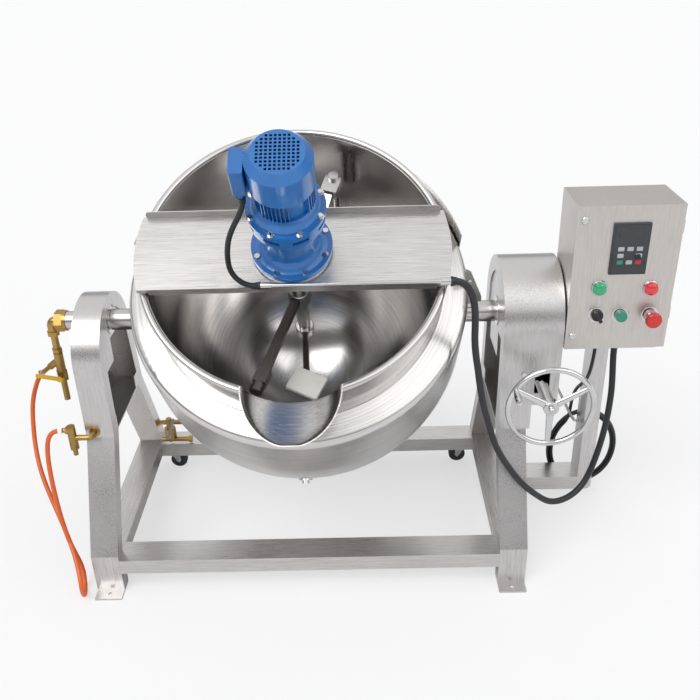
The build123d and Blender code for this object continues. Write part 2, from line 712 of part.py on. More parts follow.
with BuildPart() as handwheel_grip:
    start = handwheel_rim_radius + seat
    grip_section = Plane(origin=grip_plane.origin, x_dir=(1, 0, 0), z_dir=(0, 0, 1))
    with BuildSketch(grip_section):
        with BuildLine():
            Polyline((0, -start), (grip_radius - 2.8, -start))
            Spline((grip_radius - 2.8, -start), (grip_radius - 0.7, -start - 18.2),
                   (grip_radius, -start - 40.6), (grip_radius - 3.5, -start - grip_length))
            Polyline((grip_radius - 3.5, -start - grip_length), (0, -start - grip_length), (0, -start))
        make_face()
    revolve(axis=Axis(grip_plane.origin, (0, -1, 0)))
    with BuildSketch(grip_plane):
        Circle(grip_pin_radius + fit)
    extrude(amount=140, mode=Mode.SUBTRACT)
save(handwheel_grip.part, "handwheel_grip")

# ---------------------------------------------------------------- columns
def column_face(arch_height, inset):
    """Arched side outline of a column, drawn in the side plane."""
    r = arch_radius - inset
    foot = column_bottom + inset
    flare = column_flare * (1 - inset / (arch_height - column_bottom))
    with BuildSketch(mode=Mode.PRIVATE) as outline:
        with BuildLine():
            Line((-r, foot), (-r, arch_height))
            CenterArc((0, arch_height), r, 180, -180)
            Polyline((r, arch_height), (r + flare, foot), (-r, foot))
        make_face()
    return outline.sketch


bearing_radius = 39.2
window_strip = 42
for sign, name, width, arch_height, low_edge, plate in (
        (-1, "left_column", left_column_width, trunnion_height - left_arch_drop, 584.5, (-140, -31.5)),
        (1, "right_column", right_column_width, trunnion_height, 577.5, (-43.4, 74.2))):
    inner = side.offset(sign * column_inner_face)
    with BuildPart() as column:
        with BuildSketch(inner):
            add(column_face(arch_height, 0))
        extrude(amount=sign * width)
        with BuildSketch(inner.offset(sign * column_sheet)):
            add(column_face(arch_height, column_sheet))
        extrude(amount=sign * (width - 2 * column_sheet), mode=Mode.SUBTRACT)
        # window in the inner sheet, inside a border strip
        with BuildSketch(inner):
            add(column_face(arch_height, window_strip))
            with Locations((0, column_bottom + column_sheet)):
                Rectangle(2 * (arch_radius - window_strip) - 7, window_strip + 7,
                          align=(Align.CENTER, Align.MIN))
        extrude(amount=sign * column_sheet, mode=Mode.SUBTRACT)
        # bearing plate behind the window
        with BuildSketch(inner.offset(sign * column_sheet)):
            add(column_face(arch_height, column_sheet + 0.7))
            with Locations((0, trunnion_height - 42)):
                Rectangle(3 * arch_radius, 2 * arch_radius, align=(Align.CENTER, Align.MAX),
                          mode=Mode.SUBTRACT)
            with Locations(((plate[0] + plate[1]) / 2, low_edge)):
                Rectangle(min(plate[1] - plate[0], 2 * arch_radius), trunnion_height - 41.3 - low_edge,
                          align=(Align.CENTER, Align.MIN))
            with Locations((0, trunnion_height)):
                Circle(bearing_radius + 0.7)
        extrude(amount=sign * column_sheet)
        # seats of the bearing in both sheets
        with BuildSketch(inner):
            with Locations((0, trunnion_height)):
                Circle(bearing_radius + seat)
        extrude(amount=sign * width, mode=Mode.SUBTRACT)
        if sign > 0:
            # blocks on the outer sheet that carry the worm shaft
            for spot in (-block_spacing - block_length, block_spacing):
                with BuildSketch(front.offset(spot)):
                    with Locations((right_column_outer, worm_height)):
                        Rectangle(worm_offset + 18.2, 42, align=(Align.MIN, Align.CENTER))
                    with Locations((worm_x, worm_height)):
                        Circle(worm_shaft_radius + fit, mode=Mode.SUBTRACT)
                extrude(amount=block_length)
    save(column.part, name)

with BuildPart() as trunnion_bearings:
    for sign, outer in ((-1, left_column_outer), (1, right_column_outer)):
        with BuildSketch(side.offset(sign * (column_inner_face + 2))):
            with Locations((0, trunnion_height)):
                Circle(bearing_radius)
                Circle(journal_radius + fit, mode=Mode.SUBTRACT)
        extrude(amount=sign * (outer - column_inner_face - 2))
save(trunnion_bearings.part, "trunnion_bearings")

# ---------------------------------------------------------------- legs
def strip_polygon(a, b, width):
    """Two corners that lie width to one side of the line from a to b, a's side first."""
    (ay, az), (by, bz) = a, b
    length = math.hypot(by - ay, bz - az)
    uy, uz = (by - ay) / length, (bz - az) / length
    ny, nz = -uz * width, uy * width
    return (ay + ny, az + nz), (uy, uz)


front_top = (-arch_radius, column_bottom)
front_knee = (-arch_radius - front_leg_lean, front_knee_height)
inner_start, run = strip_polygon(front_top, front_knee, leg_depth)
inner_top = inner_start[0] + run[0] / run[1] * (column_bottom - inner_start[1])
upright_back = front_knee[0] + leg_depth
inner_knee = inner_start[1] + run[1] / run[0] * (upright_back - inner_start[0])
rear_top = (arch_radius + column_flare, column_bottom)
rear_foot = (arch_radius + column_flare + rear_leg_lean, beam_top)
rear_start, rear_run = strip_polygon(rear_top, rear_foot, -leg_depth)
rear_inner_top = rear_start[0] + rear_run[0] / rear_run[1] * (column_bottom - rear_start[1])
rear_inner_foot = rear_start[0] + rear_run[0] / rear_run[1] * (beam_top - rear_start[1])

for sign, word in ((-1, "left"), (1, "right")):
    inner = side.offset(sign * column_inner_face)
    with BuildPart() as front_leg:
        with BuildSketch(inner):
            Polygon(front_top, front_knee, (front_knee[0], foot_thickness),
                    (upright_back, foot_thickness), (upright_back, inner_knee),
                    (inner_top, column_bottom), align=None)
        extrude(amount=sign * leg_width)
        with BuildSketch(inner.offset(sign * tube_wall)):
            w = tube_wall
            Polygon((front_top[0] + w, column_bottom), (front_knee[0] + w, front_knee_height),
                    (front_knee[0] + w, foot_thickness), (upright_back - w, foot_thickness),
                    (upright_back - w, inner_knee), (inner_top - w, column_bottom), align=None)
        extrude(amount=sign * (leg_width - 2 * tube_wall), mode=Mode.SUBTRACT)
        # foot plate with one bolt hole in front of the leg
        with BuildSketch(ground):
            centre_x = sign * (column_inner_face + leg_width / 2)
            with Locations((centre_x, upright_back)):
                RectangleRounded(leg_width, leg_depth + foot_length, 2.8,
                                 align=(Align.CENTER, Align.MAX))
            with Locations((centre_x, front_leg_face - foot_hole_setback)):
                Circle(foot_hole_radius, mode=Mode.SUBTRACT)
        extrude(amount=foot_thickness)
    save(front_leg.part, f"front_leg_{word}")

    with BuildPart() as rear_leg:
        with BuildSketch(inner):
            Polygon(rear_top, rear_foot, (rear_inner_foot, beam_top), (rear_inner_top, column_bottom),
                    align=None)
        extrude(amount=sign * leg_width)
        with BuildSketch(inner.offset(sign * tube_wall)):
            w = tube_wall * 1.1
            Polygon((rear_top[0] - w, column_bottom), (rear_foot[0] - w, beam_top),
                    (rear_inner_foot + w, beam_top), (rear_inner_top + w, column_bottom), align=None)
        extrude(amount=sign * (leg_width - 2 * tube_wall), mode=Mode.SUBTRACT)
    save(rear_leg.part, f"rear_leg_{word}")

    rear_end = rear_foot[0]
    with BuildPart() as side_rail:
        with BuildSketch(inner):
            with Locations((upright_back, beam_top)):
                Rectangle(rear_end - upright_back, beam_height, align=(Align.MIN, Align.MAX))
        extrude(amount=sign * leg_width)
        with BuildSketch(inner.offset(sign * tube_wall)):
            with Locations((upright_back, beam_top - tube_wall)):
                Rectangle(rear_end - upright_back - tube_wall, beam_height - 2 * tube_wall,
                          align=(Align.MIN, Align.MAX))
        extrude(amount=sign * (leg_width - 2 * tube_wall), mode=Mode.SUBTRACT)
    save(side_rail.part, f"side_rail_{word}")

# ---------------------------------------------------------------- cross beams and casters
caster_x = column_inner_face - 26.6
caster_y = rear_end - rear_beam_depth / 2
kingpin_radius = 6.3
for name, back, depth in (("front_beam", front_knee[0] + front_beam_depth, front_beam_depth),
                          ("rear_beam", rear_end, rear_beam_depth)):
    with BuildPart() as beam:
        with BuildSketch(side.offset(-column_inner_face)):
            with Locations((back, beam_top)):
                Rectangle(depth, beam_height, align=(Align.MAX, Align.MAX))
            with Locations((back - tube_wall, beam_top - tube_wall)):
                Rectangle(depth - 2 * tube_wall, beam_height - 2 * tube_wall,
                          align=(Align.MAX, Align.MAX), mode=Mode.SUBTRACT)
        extrude(amount=2 * column_inner_face)
        if name == "rear_beam":
            with BuildSketch(ground.offset(beam_top - beam_height)):
                with Locations((-caster_x, caster_y), (caster_x, caster_y)):
                    Circle(kingpin_radius + fit)
            extrude(amount=tube_wall, mode=Mode.SUBTRACT)
    save(beam.part, name)

caster_axle_radius = 4.2
for sign, word in ((-1, "left"), (1, "right")):
    wheel_x = sign * (caster_x - caster_trail)
    fork_gap = caster_wheel_width / 2 + 1.4
    fork_top = beam_top - beam_height - seat
    with BuildPart() as caster_fork:
        with BuildSketch(ground.offset(fork_top - 5.6)):
            with Locations((sign * caster_x, caster_y)):
                Circle(18.9)
            with Locations((sign * (caster_x - caster_trail / 2), caster_y)):
                Rectangle(caster_trail + 11.2, 2 * fork_gap + 5.6)
        extrude(amount=5.6)
        for end in (-1, 1):
            with BuildSketch(front.offset(-caster_y + end * (fork_gap + 2) - 1.4)):
                with BuildLine():
                    Polyline((sign * (caster_x + 5.6), fork_top - 2.8), (wheel_x + sign * 7.7, caster_wheel_radius),
                             (wheel_x, caster_wheel_radius - 7.7), (wheel_x - sign * 7.7, caster_wheel_radius),
                             (wheel_x - sign * 5.6, fork_top - 2.8), (sign * (caster_x + 5.6), fork_top - 2.8))
                make_face()
            extrude(amount=2.8)
        with BuildSketch(front.offset(-caster_y - fork_gap - 4.2)):
            with Locations((wheel_x, caster_wheel_radius)):
                Circle(caster_axle_radius)
        extrude(amount=2 * fork_gap + 8.4)
        with BuildSketch(ground.offset(fork_top - 5.6)):
            with Locations((sign * caster_x, caster_y)):
                Circle(kingpin_radius)
        extrude(amount=5.6 + 11.2)
    save(caster_fork.part, f"caster_fork_{word}")
    with BuildPart() as caster_wheel:
        with BuildSketch(front.offset(-caster_y - caster_wheel_width / 2)):
            with Locations((wheel_x, caster_wheel_radius)):
                Circle(caster_wheel_radius)
        extrude(amount=caster_wheel_width)
        fillet(caster_wheel.edges().filter_by(GeomType.CIRCLE), 2.8)
        with BuildSketch(front.offset(-caster_y - caster_wheel_width / 2)):
            with Locations((wheel_x, caster_wheel_radius)):
                Circle(caster_axle_radius + fit)
        extrude(amount=caster_wheel_width, mode=Mode.SUBTRACT)
    save(caster_wheel.part, f"caster_wheel_{word}")

# ---------------------------------------------------------------- gear case
case_wall = 2.8
case_outer = right_column_outer + gear_case_width


def case_face(inset):
    """Arched outline of the gear case in the side plane."""
    r = arch_radius - inset
    with BuildSketch(mode=Mode.PRIVATE) as outline:
        with BuildLine():
            Line((-r, gear_case_bottom + inset), (-r, trunnion_height))
            CenterArc((0, trunnion_height), r, 180, -180)
            Polyline((r, trunnion_height), (r, gear_case_bottom + inset),
                     (-r, gear_case_bottom + inset))
        make_face()
    return outline.sketch


with BuildPart() as gear_case:
    with BuildSketch(side.offset(right_column_outer)):
        add(case_face(0))
    extrude(amount=gear_case_width)
    with BuildSketch(side.offset(right_column_outer)):
        add(case_face(case_wall))
    extrude(amount=gear_case_width - case_wall, mode=Mode.SUBTRACT)
    # opening in the front wall for the worm shaft
    with BuildSketch(front.offset(arch_radius - case_wall)):
        with Locations((right_column_outer + case_wall, worm_height - 3.5)):
            Rectangle(worm_offset + sleeve_radius + 5.6, 58.8, align=(Align.MIN, Align.CENTER))
    extrude(amount=case_wall, mode=Mode.SUBTRACT)
save(gear_case.part, "gear_case")

# ---------------------------------------------------------------- control post and box
rail_outer = column_inner_face + leg_width
post_top_height = box_bottom + box_height - 56
beam_low = beam_top - beam_height
with BuildPart() as control_post:
    with BuildSketch(front.offset(-post_front)):
        with Locations((post_left, beam_low)):
            Rectangle(post_width, post_top_height - beam_low, align=(Align.MIN, Align.MIN))
    extrude(amount=-post_depth)
    fillet(control_post.edges().filter_by(Axis.Y).group_by(Axis.Z)[0].sort_by(Axis.X)[-1], 12.6)
    with BuildSketch(ground.offset(beam_top)):
        with Locations((post_left + post_width / 2, post_front + post_depth / 2)):
            Rectangle(post_width - 2 * tube_wall, post_depth - 2 * tube_wall)
    extrude(amount=post_top_height - beam_top, mode=Mode.SUBTRACT)
    # bent rod on the left side that the spare cable hangs on
    with BuildLine() as rod:
        FilletPolyline(*placed(((730.8, 122.5, 388.5), (784, 122.5, 281.4), (792.4, post_front + 63, 271.6),
                                (post_left + 1.4, post_front + 63, 271.6))), radius=5.6)
    with BuildSketch(Plane(origin=rod.wire() @ 0, z_dir=rod.wire() % 0)):
        Circle(rod_radius)
    sweep(path=rod.wire())
save(control_post.part, "control_post")

with BuildPart() as control_bracket:
    with BuildSketch(side.offset(rail_outer)):
        with Locations((post_front, beam_top)):
            Rectangle(bracket_depth, beam_height, align=(Align.MIN, Align.MAX))
        with Locations((post_front + tube_wall, beam_top - tube_wall)):
            Rectangle(bracket_depth - 2 * tube_wall, beam_height - 2 * tube_wall,
                      align=(Align.MIN, Align.MAX), mode=Mode.SUBTRACT)
    extrude(amount=post_left - rail_outer)
save(control_bracket.part, "control_bracket")

box_right = box_left + box_width
box_top = box_bottom + box_height
box_back = box_front + box_depth
door_back = box_front + door_depth
middle_x = (box_left + box_right) / 2
middle_z = (box_bottom + box_top) / 2
with BuildPart() as control_box:
    with BuildSketch(front.offset(-door_back)):
        with Locations((middle_x, middle_z)):
            Rectangle(box_width, box_height)
    extrude(amount=-(box_depth - door_depth))
    with BuildSketch(front.offset(-door_back)):
        with Locations((middle_x, middle_z)):
            Rectangle(box_width - 2 * box_sheet, box_height - 2 * box_sheet)
    extrude(amount=-(box_depth - door_depth - box_sheet), mode=Mode.SUBTRACT)
    # drip lip under the door
    with BuildSketch(front.offset(-door_back - 4.2)):
        with Locations((middle_x - 5.6, box_bottom)):
            Rectangle(box_width - 21, 8.4, align=(Align.CENTER, Align.MAX))
    extrude(amount=4.2)
    # channels that carry the box on its post
    with BuildSketch(front.offset(-box_back)):
        with Locations((post_left + post_width / 2, box_bottom + 77),
                       (post_left + post_width / 2, post_top_height - 42)):
            Rectangle(post_width + 42, 35)
    extrude(amount=-(post_front - box_back))
    # cable glands in the underside
    gland_spots = ((post_left + 18.9, -70), (post_left - 21, -39.2))
    with BuildSketch(ground.offset(box_bottom)):
        with Locations(*gland_spots):
            RegularPolygon(13.3, 6)
    extrude(amount=-8.4)
    with BuildSketch(ground.offset(box_bottom)):
        with Locations(*gland_spots):
            Circle(10.5)
    extrude(amount=-15.4)
    hinge_x = box_right + 3.5
    for level in (0.2, 0.8):
        with BuildSketch(ground.offset(box_bottom + level * box_height)):
            with Locations((hinge_x, door_back)):
                Circle(3.15)
            with Locations((box_right, door_back + 0.7)):
                Rectangle(4.2, 3.5, align=(Align.MIN, Align.MIN))
        extrude(amount=15.4)
save(control_box.part, "control_box")

# door with its holes for the controls
keypad_x, keypad_z, keypad_width, keypad_height = 799.4, 917.7, 88.9, 130.2
lamp_spots = ((738.5, 816.9), (864.5, 813.4))
selector_spot, button_spot, stop_spot = (740.6, 744.8), (798.7, 743.4), (872.2, 740.6)
switch_spots = (selector_spot, button_spot, stop_spot)
switch_hole = 11
collar_radius, collar_height = 11.2, 4.2
with BuildPart() as box_door:
    with BuildSketch(front.offset(-door_back)):
        with Locations((middle_x, middle_z)):
            Rectangle(box_width, box_height)
    extrude(amount=door_depth - seat)
    with BuildSketch(front.offset(-door_back)):
        with Locations((middle_x, middle_z)):
            Rectangle(box_width - 2 * door_sheet, box_height - 2 * door_sheet)
    extrude(amount=door_depth - seat - door_sheet, mode=Mode.SUBTRACT)
    with BuildSketch(front.offset(-box_front - 7)):
        with Locations(*switch_spots, *lamp_spots):
            Circle(switch_hole)
        with Locations((keypad_x, keypad_z)):
            Rectangle(keypad_width - 11.2, keypad_height - 11.2)
    extrude(amount=14, mode=Mode.SUBTRACT)
    for level in (0.2, 0.8):
        with BuildSketch(ground.offset(box_bottom + level * box_height + 15.4)):
            with Locations((hinge_x, door_back)):
                Circle(3.15)
            with Locations((box_right, door_back - 0.7)):
                Rectangle(4.2, 3.5, align=(Align.MIN, Align.MAX))
        extrude(amount=15.4)
save(box_door.part, "box_door")

door_face = -box_front - seat
with BuildPart() as keypad_panel:
    with BuildSketch(front.offset(door_face)):
        with Locations((keypad_x, keypad_z)):
            RectangleRounded(keypad_width, keypad_height, 2.1)
    extrude(amount=4.9)
    chamfer(keypad_panel.faces().sort_by(Axis.Y)[0].edges(), 1.05)
    with BuildSketch(front.offset(door_face + 4.9)):
        with Locations((keypad_x, keypad_z - 5.6)):
            Rectangle(64.4, 93.8)
    extrude(amount=-2.1, mode=Mode.SUBTRACT)
    with BuildSketch(front.offset(door_face + 4.9)):
        with Locations((keypad_x, keypad_z + keypad_height / 2 - 18.2)):
            Circle(9.8)
            Rectangle(28, 9.8, align=(Align.CENTER, Align.MAX), mode=Mode.SUBTRACT)
    extrude(amount=-2.8, mode=Mode.SUBTRACT)
    # 3 by 3 keys, the top right place is the knob's
    key_spots = [(keypad_x + (i - 1) * 19.6, keypad_z - 18.2 - j * 14) for i in range(3) for j in range(3)
                 if (i, j) != (2, 0)]
    with BuildSketch(front.offset(door_face + 2.8)):
        with Locations(*key_spots):
            RectangleRounded(14, 8.4, 2.1)
    extrude(amount=2.45)
    with BuildSketch(front.offset(door_face)):
        with Locations((keypad_x, keypad_z)):
            Rectangle(keypad_width - 12.6, keypad_height - 12.6)
    extrude(amount=-19.6)
    with BuildSketch(front.offset(door_face + 2.8)):
        with Locations((keypad_x + 19.6, keypad_z - 18.2)):
            Circle(2.8)
    extrude(amount=1.4)
save(keypad_panel.part, "keypad_panel")

with BuildPart() as keypad_knob:
    with BuildSketch(front.offset(door_face + 4.2 + seat)):
        with Locations((keypad_x + 19.6, keypad_z - 18.2)):
            Circle(7)
    extrude(amount=4.9)
    chamfer(keypad_knob.faces().sort_by(Axis.Y)[0].edges(), 1.05)
    with BuildSketch(front.offset(door_face + 9.1 + seat)):
        with Locations((keypad_x + 19.6, keypad_z - 14)):
            Rectangle(1.12, 4.2)
    extrude(amount=-0.56, mode=Mode.SUBTRACT)
save(keypad_knob.part, "keypad_knob")

lamp_radius, lamp_rise = 15, 5
lamp_dome = (lamp_radius**2 + lamp_rise**2) / (2 * lamp_rise)
with BuildPart() as pilot_lamps:
    for spot in lamp_spots:
        lamp_section = Plane(origin=(spot[0], floor_shift - door_face, spot[1]), x_dir=(1, 0, 0),
                             z_dir=(0, 0, 1))
        with BuildSketch(lamp_section):
            with BuildLine():
                Polyline((0, -12 - lamp_rise), (0, 20), (switch_hole - 1, 20), (switch_hole - 1, 0),
                         (lamp_radius + 3, 0), (lamp_radius + 3, -4), (lamp_radius, -6),
                         (lamp_radius, -12))
                ThreePointArc((lamp_radius, -12),
                              (lamp_radius / 2, -12 - lamp_rise + lamp_dome
                               - math.sqrt(lamp_dome**2 - lamp_radius**2 / 4)),
                              (0, -12 - lamp_rise))
            make_face()
        revolve(axis=Axis(lamp_section.origin, (0, -1, 0)))
save(pilot_lamps.part, "pilot_lamps")

with BuildPart() as switch_collars:
    for spot, tall in zip(switch_spots, (collar_height, collar_height, 16)):
        with BuildSketch(front.offset(door_face)):
            with Locations(spot):
                Circle(collar_radius)
        extrude(amount=tall)
        with BuildSketch(front.offset(door_face)):
            with Locations(spot):
                Circle(switch_hole - 1)
        extrude(amount=-40)
        with BuildSketch(front.offset(door_face - 30)):
            with Locations(spot):
                Circle(7 + fit)
        extrude(amount=60, mode=Mode.SUBTRACT)
save(switch_collars.part, "switch_collars")

stem = 7
with BuildPart() as selector_knob:
    with BuildSketch(front.offset(door_face + collar_height + seat)):
        with Locations(selector_spot):
            Circle(14)
    extrude(amount=6)
    with BuildSketch(front.offset(door_face + collar_height + seat + 6)):
        with Locations(selector_spot):
            Rectangle(9, 30, rotation=30)
    extrude(amount=11)
    with BuildSketch(front.offset(door_face - 20)):
        with Locations(selector_spot):
            Circle(stem)
    extrude(amount=20 + collar_height + seat)
save(selector_knob.part, "selector_knob")

button_travel = 4
with BuildPart() as start_button:
    with BuildSketch(front.offset(door_face + collar_height + button_travel + seat)):
        with Locations(button_spot):
            Circle(14)
    extrude(amount=8)
    fillet(start_button.faces().sort_by(Axis.Y)[0].edges(), 1.5)
    with BuildSketch(front.offset(door_face - 20)):
        with Locations(button_spot):
            Circle(stem)
    extrude(amount=20 + collar_height + button_travel + seat)
save(start_button.part, "start_button")

stop_travel = 5
with BuildPart() as stop_button:
    base = door_face + 16 + stop_travel + seat
    with BuildSketch(front.offset(base)):
        with Locations(stop_spot):
            Circle(15)
    extrude(amount=6)
    with BuildSketch(front.offset(base + 6)):
        with Locations(stop_spot):
            Circle(20)
    extrude(amount=12)
    fillet(stop_button.faces().sort_by(Axis.Y)[0].edges(), 6)
    with BuildSketch(front.offset(door_face - 20)):
        with Locations(stop_spot):
            Circle(stem)
    extrude(amount=20 + 16 + stop_travel + seat)
save(stop_button.part, "stop_button")

# ---------------------------------------------------------------- hoses and cable at the box
supply_radius = 8.4
bridge_gland = on_kettle(bridge_end_x, conduit_line, conduit_level)
box_gland = Vector(gland_spots[0][0], gland_spots[0][1] + floor_shift, box_bottom - 15.4)


supply_points = [bridge_gland, bridge_gland + Vector(15.4, 0, 0)] + placed((
    (390.6, -281.4, 895.3), (403.2, -280, 880.6), (413, -278.6, 856.8), (418.6, -276.5, 825.3), (420.7, -274.4, 788.2),
    (421.4, -271.6, 747.6), (426.3, -269.5, 705.6), (434, -267.4, 663.6), (440.3, -265.3, 621.6), (448, -263.2, 579.6),
    (458.5, -260.4, 538.3), (470.4, -256.9, 497.7), (482.3, -253.4, 457.8), (496.3, -249.2, 418.6), (515.2, -245, 382.2),
    (536.2, -242.9, 347.9), (557.9, -240.1, 315), (583.1, -235.2, 284.2), (609, -227.5, 256.2), (643.3, -213.5, 221.9),
    (666.4, -205.1, 210), (690.9, -194.6, 205.8), (716.1, -182.7, 208.6), (739.2, -171.5, 219.8), (758.1, -161, 236.6),
    (773.5, -151.9, 265.3), (786.1, -143.5, 301), (797.3, -135.1, 341.6), (806.4, -126, 382.2), (813.4, -116.9, 422.8),
    (818.3, -107.1, 462), (821.8, -96.6, 499.8), (822.5, -85.4, 536.2), (822.5, -75.6, 568.4))) + [
    box_gland - Vector(0, 0, 35), box_gland]
supply_hose = hose(supply_points, supply_radius, "supply_hose")
save(supply_hose, "supply_hose")

coil_bundle = 14
coil_centre = Vector(835.1, floor_shift + 140.2, 151.2)
coil_half_width, coil_half_height = 99.4, 128.8
with BuildPart() as cable_coil:
    with BuildLine() as coil_line:
        for start in (0, 180):
            EllipticalCenterArc((0, 0), coil_half_width, coil_half_height, start_angle=start,
                                arc_size=180)
    coil_path = Plane(origin=coil_centre, x_dir=(1, 0, 0), z_dir=(0, -1, 0)).location * coil_line.wire()
    with BuildSketch(Plane(origin=coil_path @ 0, z_dir=coil_path % 0)):
        Circle(coil_bundle)
    sweep(path=coil_path)
save(cable_coil.part, "cable_coil")

cable_radius = 4.9
cable_gland = Vector(gland_spots[1][0], gland_spots[1][1] + floor_shift, box_bottom - 15.4)
cable_points = [cable_gland, cable_gland - Vector(0, 0, 35)] + placed((
    (783.3, -32.2, 564.2), (784, -18.2, 515.2), (784.7, 2.8, 478.8), (784.7, 30.8, 448),
    (784.7, 61.6, 420), (784, 91, 390.6), (784, 114.1, 357), (785.4, 130.2, 319.2), (789.6, 137.9, 278.6)))
control_cable = hose(cable_points, cable_radius, "control_cable")
save(control_cable, "control_cable")

# ---------------------------------------------------------------- steam inlet
union_depth = 29.4
elbow_drop = 42
pipe_x = -(union_face + union_depth + 16.1)
with BuildPart() as steam_union:
    with BuildSketch(side.offset(-union_face)):
        with Locations((0, trunnion_height)):
            Circle(28)
    extrude(amount=-8.4)
    with BuildSketch(side.offset(-union_face - 8.4)):
        with Locations((0, trunnion_height)):
            RegularPolygon(30.1, 6)
    extrude(amount=-(union_depth - 8.4))
    with BuildSketch(side.offset(-union_face)):
        with Locations((0, trunnion_height)):
            Circle(journal_radius + fit)
    extrude(amount=-15.4, mode=Mode.SUBTRACT)
    # elbow down to the pipe
    elbow_radius = 15.4
    with BuildLine() as bend:
        FilletPolyline(*placed(((-union_face - union_depth + 1.4, 0, trunnion_height),
                                (pipe_x, 0, trunnion_height), (pipe_x, 0, trunnion_height - elbow_drop))),
                       radius=14)
    with BuildSketch(Plane(origin=bend.wire() @ 0, z_dir=bend.wire() % 0)):
        Circle(elbow_radius - 2.8)
    sweep(path=bend.wire())
    with BuildSketch(ground.offset(trunnion_height - elbow_drop)):
        with Locations((pipe_x, 0)):
            RegularPolygon(elbow_radius + 1.4, 8)
    extrude(amount=12.6)
save(steam_union.part, "steam_union")

pipe_bottom = 596.4
# drop pipe and branch with a hose barb to the left and a drain cock below
barb_plane = Plane(origin=(pipe_x + 2.8, floor_shift, 576.8), x_dir=(0, 1, 0), z_dir=(-0.8, 0, -0.6))
barb_end = 63
with BuildPart() as steam_branch:
    with BuildSketch(ground.offset(pipe_bottom)):
        with Locations((pipe_x, 0)):
            Circle(9.8)
    extrude(amount=trunnion_height - elbow_drop - pipe_bottom)
    with BuildSketch(ground.offset(pipe_bottom + 2.8)):
        with Locations((pipe_x, 0)):
            RegularPolygon(14, 6)
    extrude(amount=11.2)
    with BuildSketch(ground.offset(pipe_bottom)):
        with Locations((pipe_x, 0)):
            Circle(12.6)
    extrude(amount=-54.6)
    with BuildSketch(ground.offset(pipe_bottom - 54.6)):
        with Locations((pipe_x, 0)):
            RegularPolygon(15.4, 6)
    extrude(amount=-30.8)
    with BuildSketch(ground.offset(pipe_bottom - 85.4)):
        with Locations((pipe_x, 0)):
            Circle(8.4)
    extrude(amount=-63)
    with BuildSketch(barb_plane):
        Circle(9.8)
    extrude(amount=30.8)
    with BuildSketch(barb_plane.offset(30.8)):
        RegularPolygon(10.5, 6)
    extrude(amount=9.8)
    with BuildSketch(barb_plane.offset(40.6)):
        Circle(6.3)
    extrude(amount=barb_end - 40.6)
    # stem of the cock's lever
    with BuildSketch(front.offset(7)):
        with Locations((pipe_x, pipe_bottom - 70)):
            Circle(4.9)
    extrude(amount=18.2)
save(steam_branch.part, "steam_branch")

lever_plane = Plane(front.offset(25.2 + seat).location * Pos(pipe_x, pipe_bottom - 70, 0))
with BuildPart() as steam_lever:
    with BuildSketch(lever_plane):
        Circle(8.4)
        with Locations((-30.8, 7)):
            RectangleRounded(67.2, 11.9, 4.9, rotation=-12)
    extrude(amount=3.5)
save(steam_lever.part, "steam_lever")

# inlet stub on the front of the left column, with a valve below
stub_x = -(left_column_outer - 23.8)
stub_y = -175
stub_z = 421.4
tee_x = -616
barb_face = tee_x - 18.9
stub_barb_height = 455
with BuildPart() as inlet_stub:
    with BuildSketch(front.offset(arch_radius)):
        with Locations((stub_x, stub_z + 9.8)):
            Circle(14)
    extrude(amount=4.2)
    with BuildLine() as pipe_line:
        FilletPolyline(*placed(((stub_x, -arch_radius - 1.4, stub_z + 9.8), (stub_x, stub_y, stub_z + 9.8),
                                (tee_x, stub_y, stub_z + 9.8))), radius=9.8)
    with BuildSketch(Plane(origin=pipe_line.wire() @ 0, z_dir=pipe_line.wire() % 0)):
        Circle(7.7)
    sweep(path=pipe_line.wire())
    with BuildSketch(ground.offset(stub_z - 8.4)):
        with Locations((tee_x, stub_y)):
            Circle(11.2)
    extrude(amount=54.6)
    # nut and hose barb to the left
    for start, end, width, corners in ((tee_x, tee_x - 15.4, 9.8, 6), (tee_x, barb_face, 6.3, 24)):
        with BuildSketch(side.offset(start)):
            with Locations((stub_y, stub_barb_height)):
                RegularPolygon(width, corners)
        extrude(amount=end - start)
    with BuildSketch(ground.offset(stub_z - 23.8)):
        with Locations((tee_x, stub_y)):
            RegularPolygon(12.6, 6)
    extrude(amount=15.4)
    with BuildSketch(ground.offset(stub_z - 43.4)):
        with Locations((tee_x, stub_y)):
            Circle(6.3)
    extrude(amount=19.6)
save(inlet_stub.part, "inlet_stub")

orange_radius = 6.3
barb_tip = barb_plane.origin + barb_plane.z_dir * barb_end
orange_points = [barb_tip, barb_tip + barb_plane.z_dir * 21] + placed((
    (-764.4, -5.6, 483), (-774.9, -12.6, 448), (-779.1, -22.4, 413), (-779.1, -36.4, 379.4), (-775.6, -56, 345.8),
    (-767.2, -81.2, 312.2), (-753.2, -110.6, 281.4), (-735, -140, 253.4), (-714, -169.4, 225.4),
    (-691.6, -198.8, 196), (-672, -225.4, 168), (-653.8, -252, 142.8), (-637, -278.6, 119.7), (-624.4, -305.2, 95.9),
    (-614.6, -329, 76.3), (-612.5, -337.4, 58.8), (-612.5, -337.4, 38.5), (-614.6, -328.3, 20.6), (-618.8, -312.2, 9.1),
    (-623.7, -293.3, 7), (-628.6, -274.4, 12.6), (-632.1, -261.1, 27.3), (-634.2, -255.5, 44.8), (-637.7, -254.8, 74.2),
    (-644.7, -256.2, 107.8), (-653.1, -254.1, 142.8), (-660.8, -247.8, 179.2), (-667.8, -239.4, 215.6), (-673.4, -230.3, 253.4),
    (-678.3, -220.5, 289.8), (-682.5, -210, 326.2), (-685.3, -199.5, 362.6), (-686, -189, 396.2), (-682.5, -179.9, 426.3),
    (-672.7, -175.7, 444.5)))
orange_points += [Vector(barb_face - 21, stub_y + floor_shift, stub_barb_height),
                  Vector(barb_face, stub_y + floor_shift, stub_barb_height)]
orange_hose = hose(orange_points, orange_radius, "orange_hose")
save(orange_hose, "orange_hose")

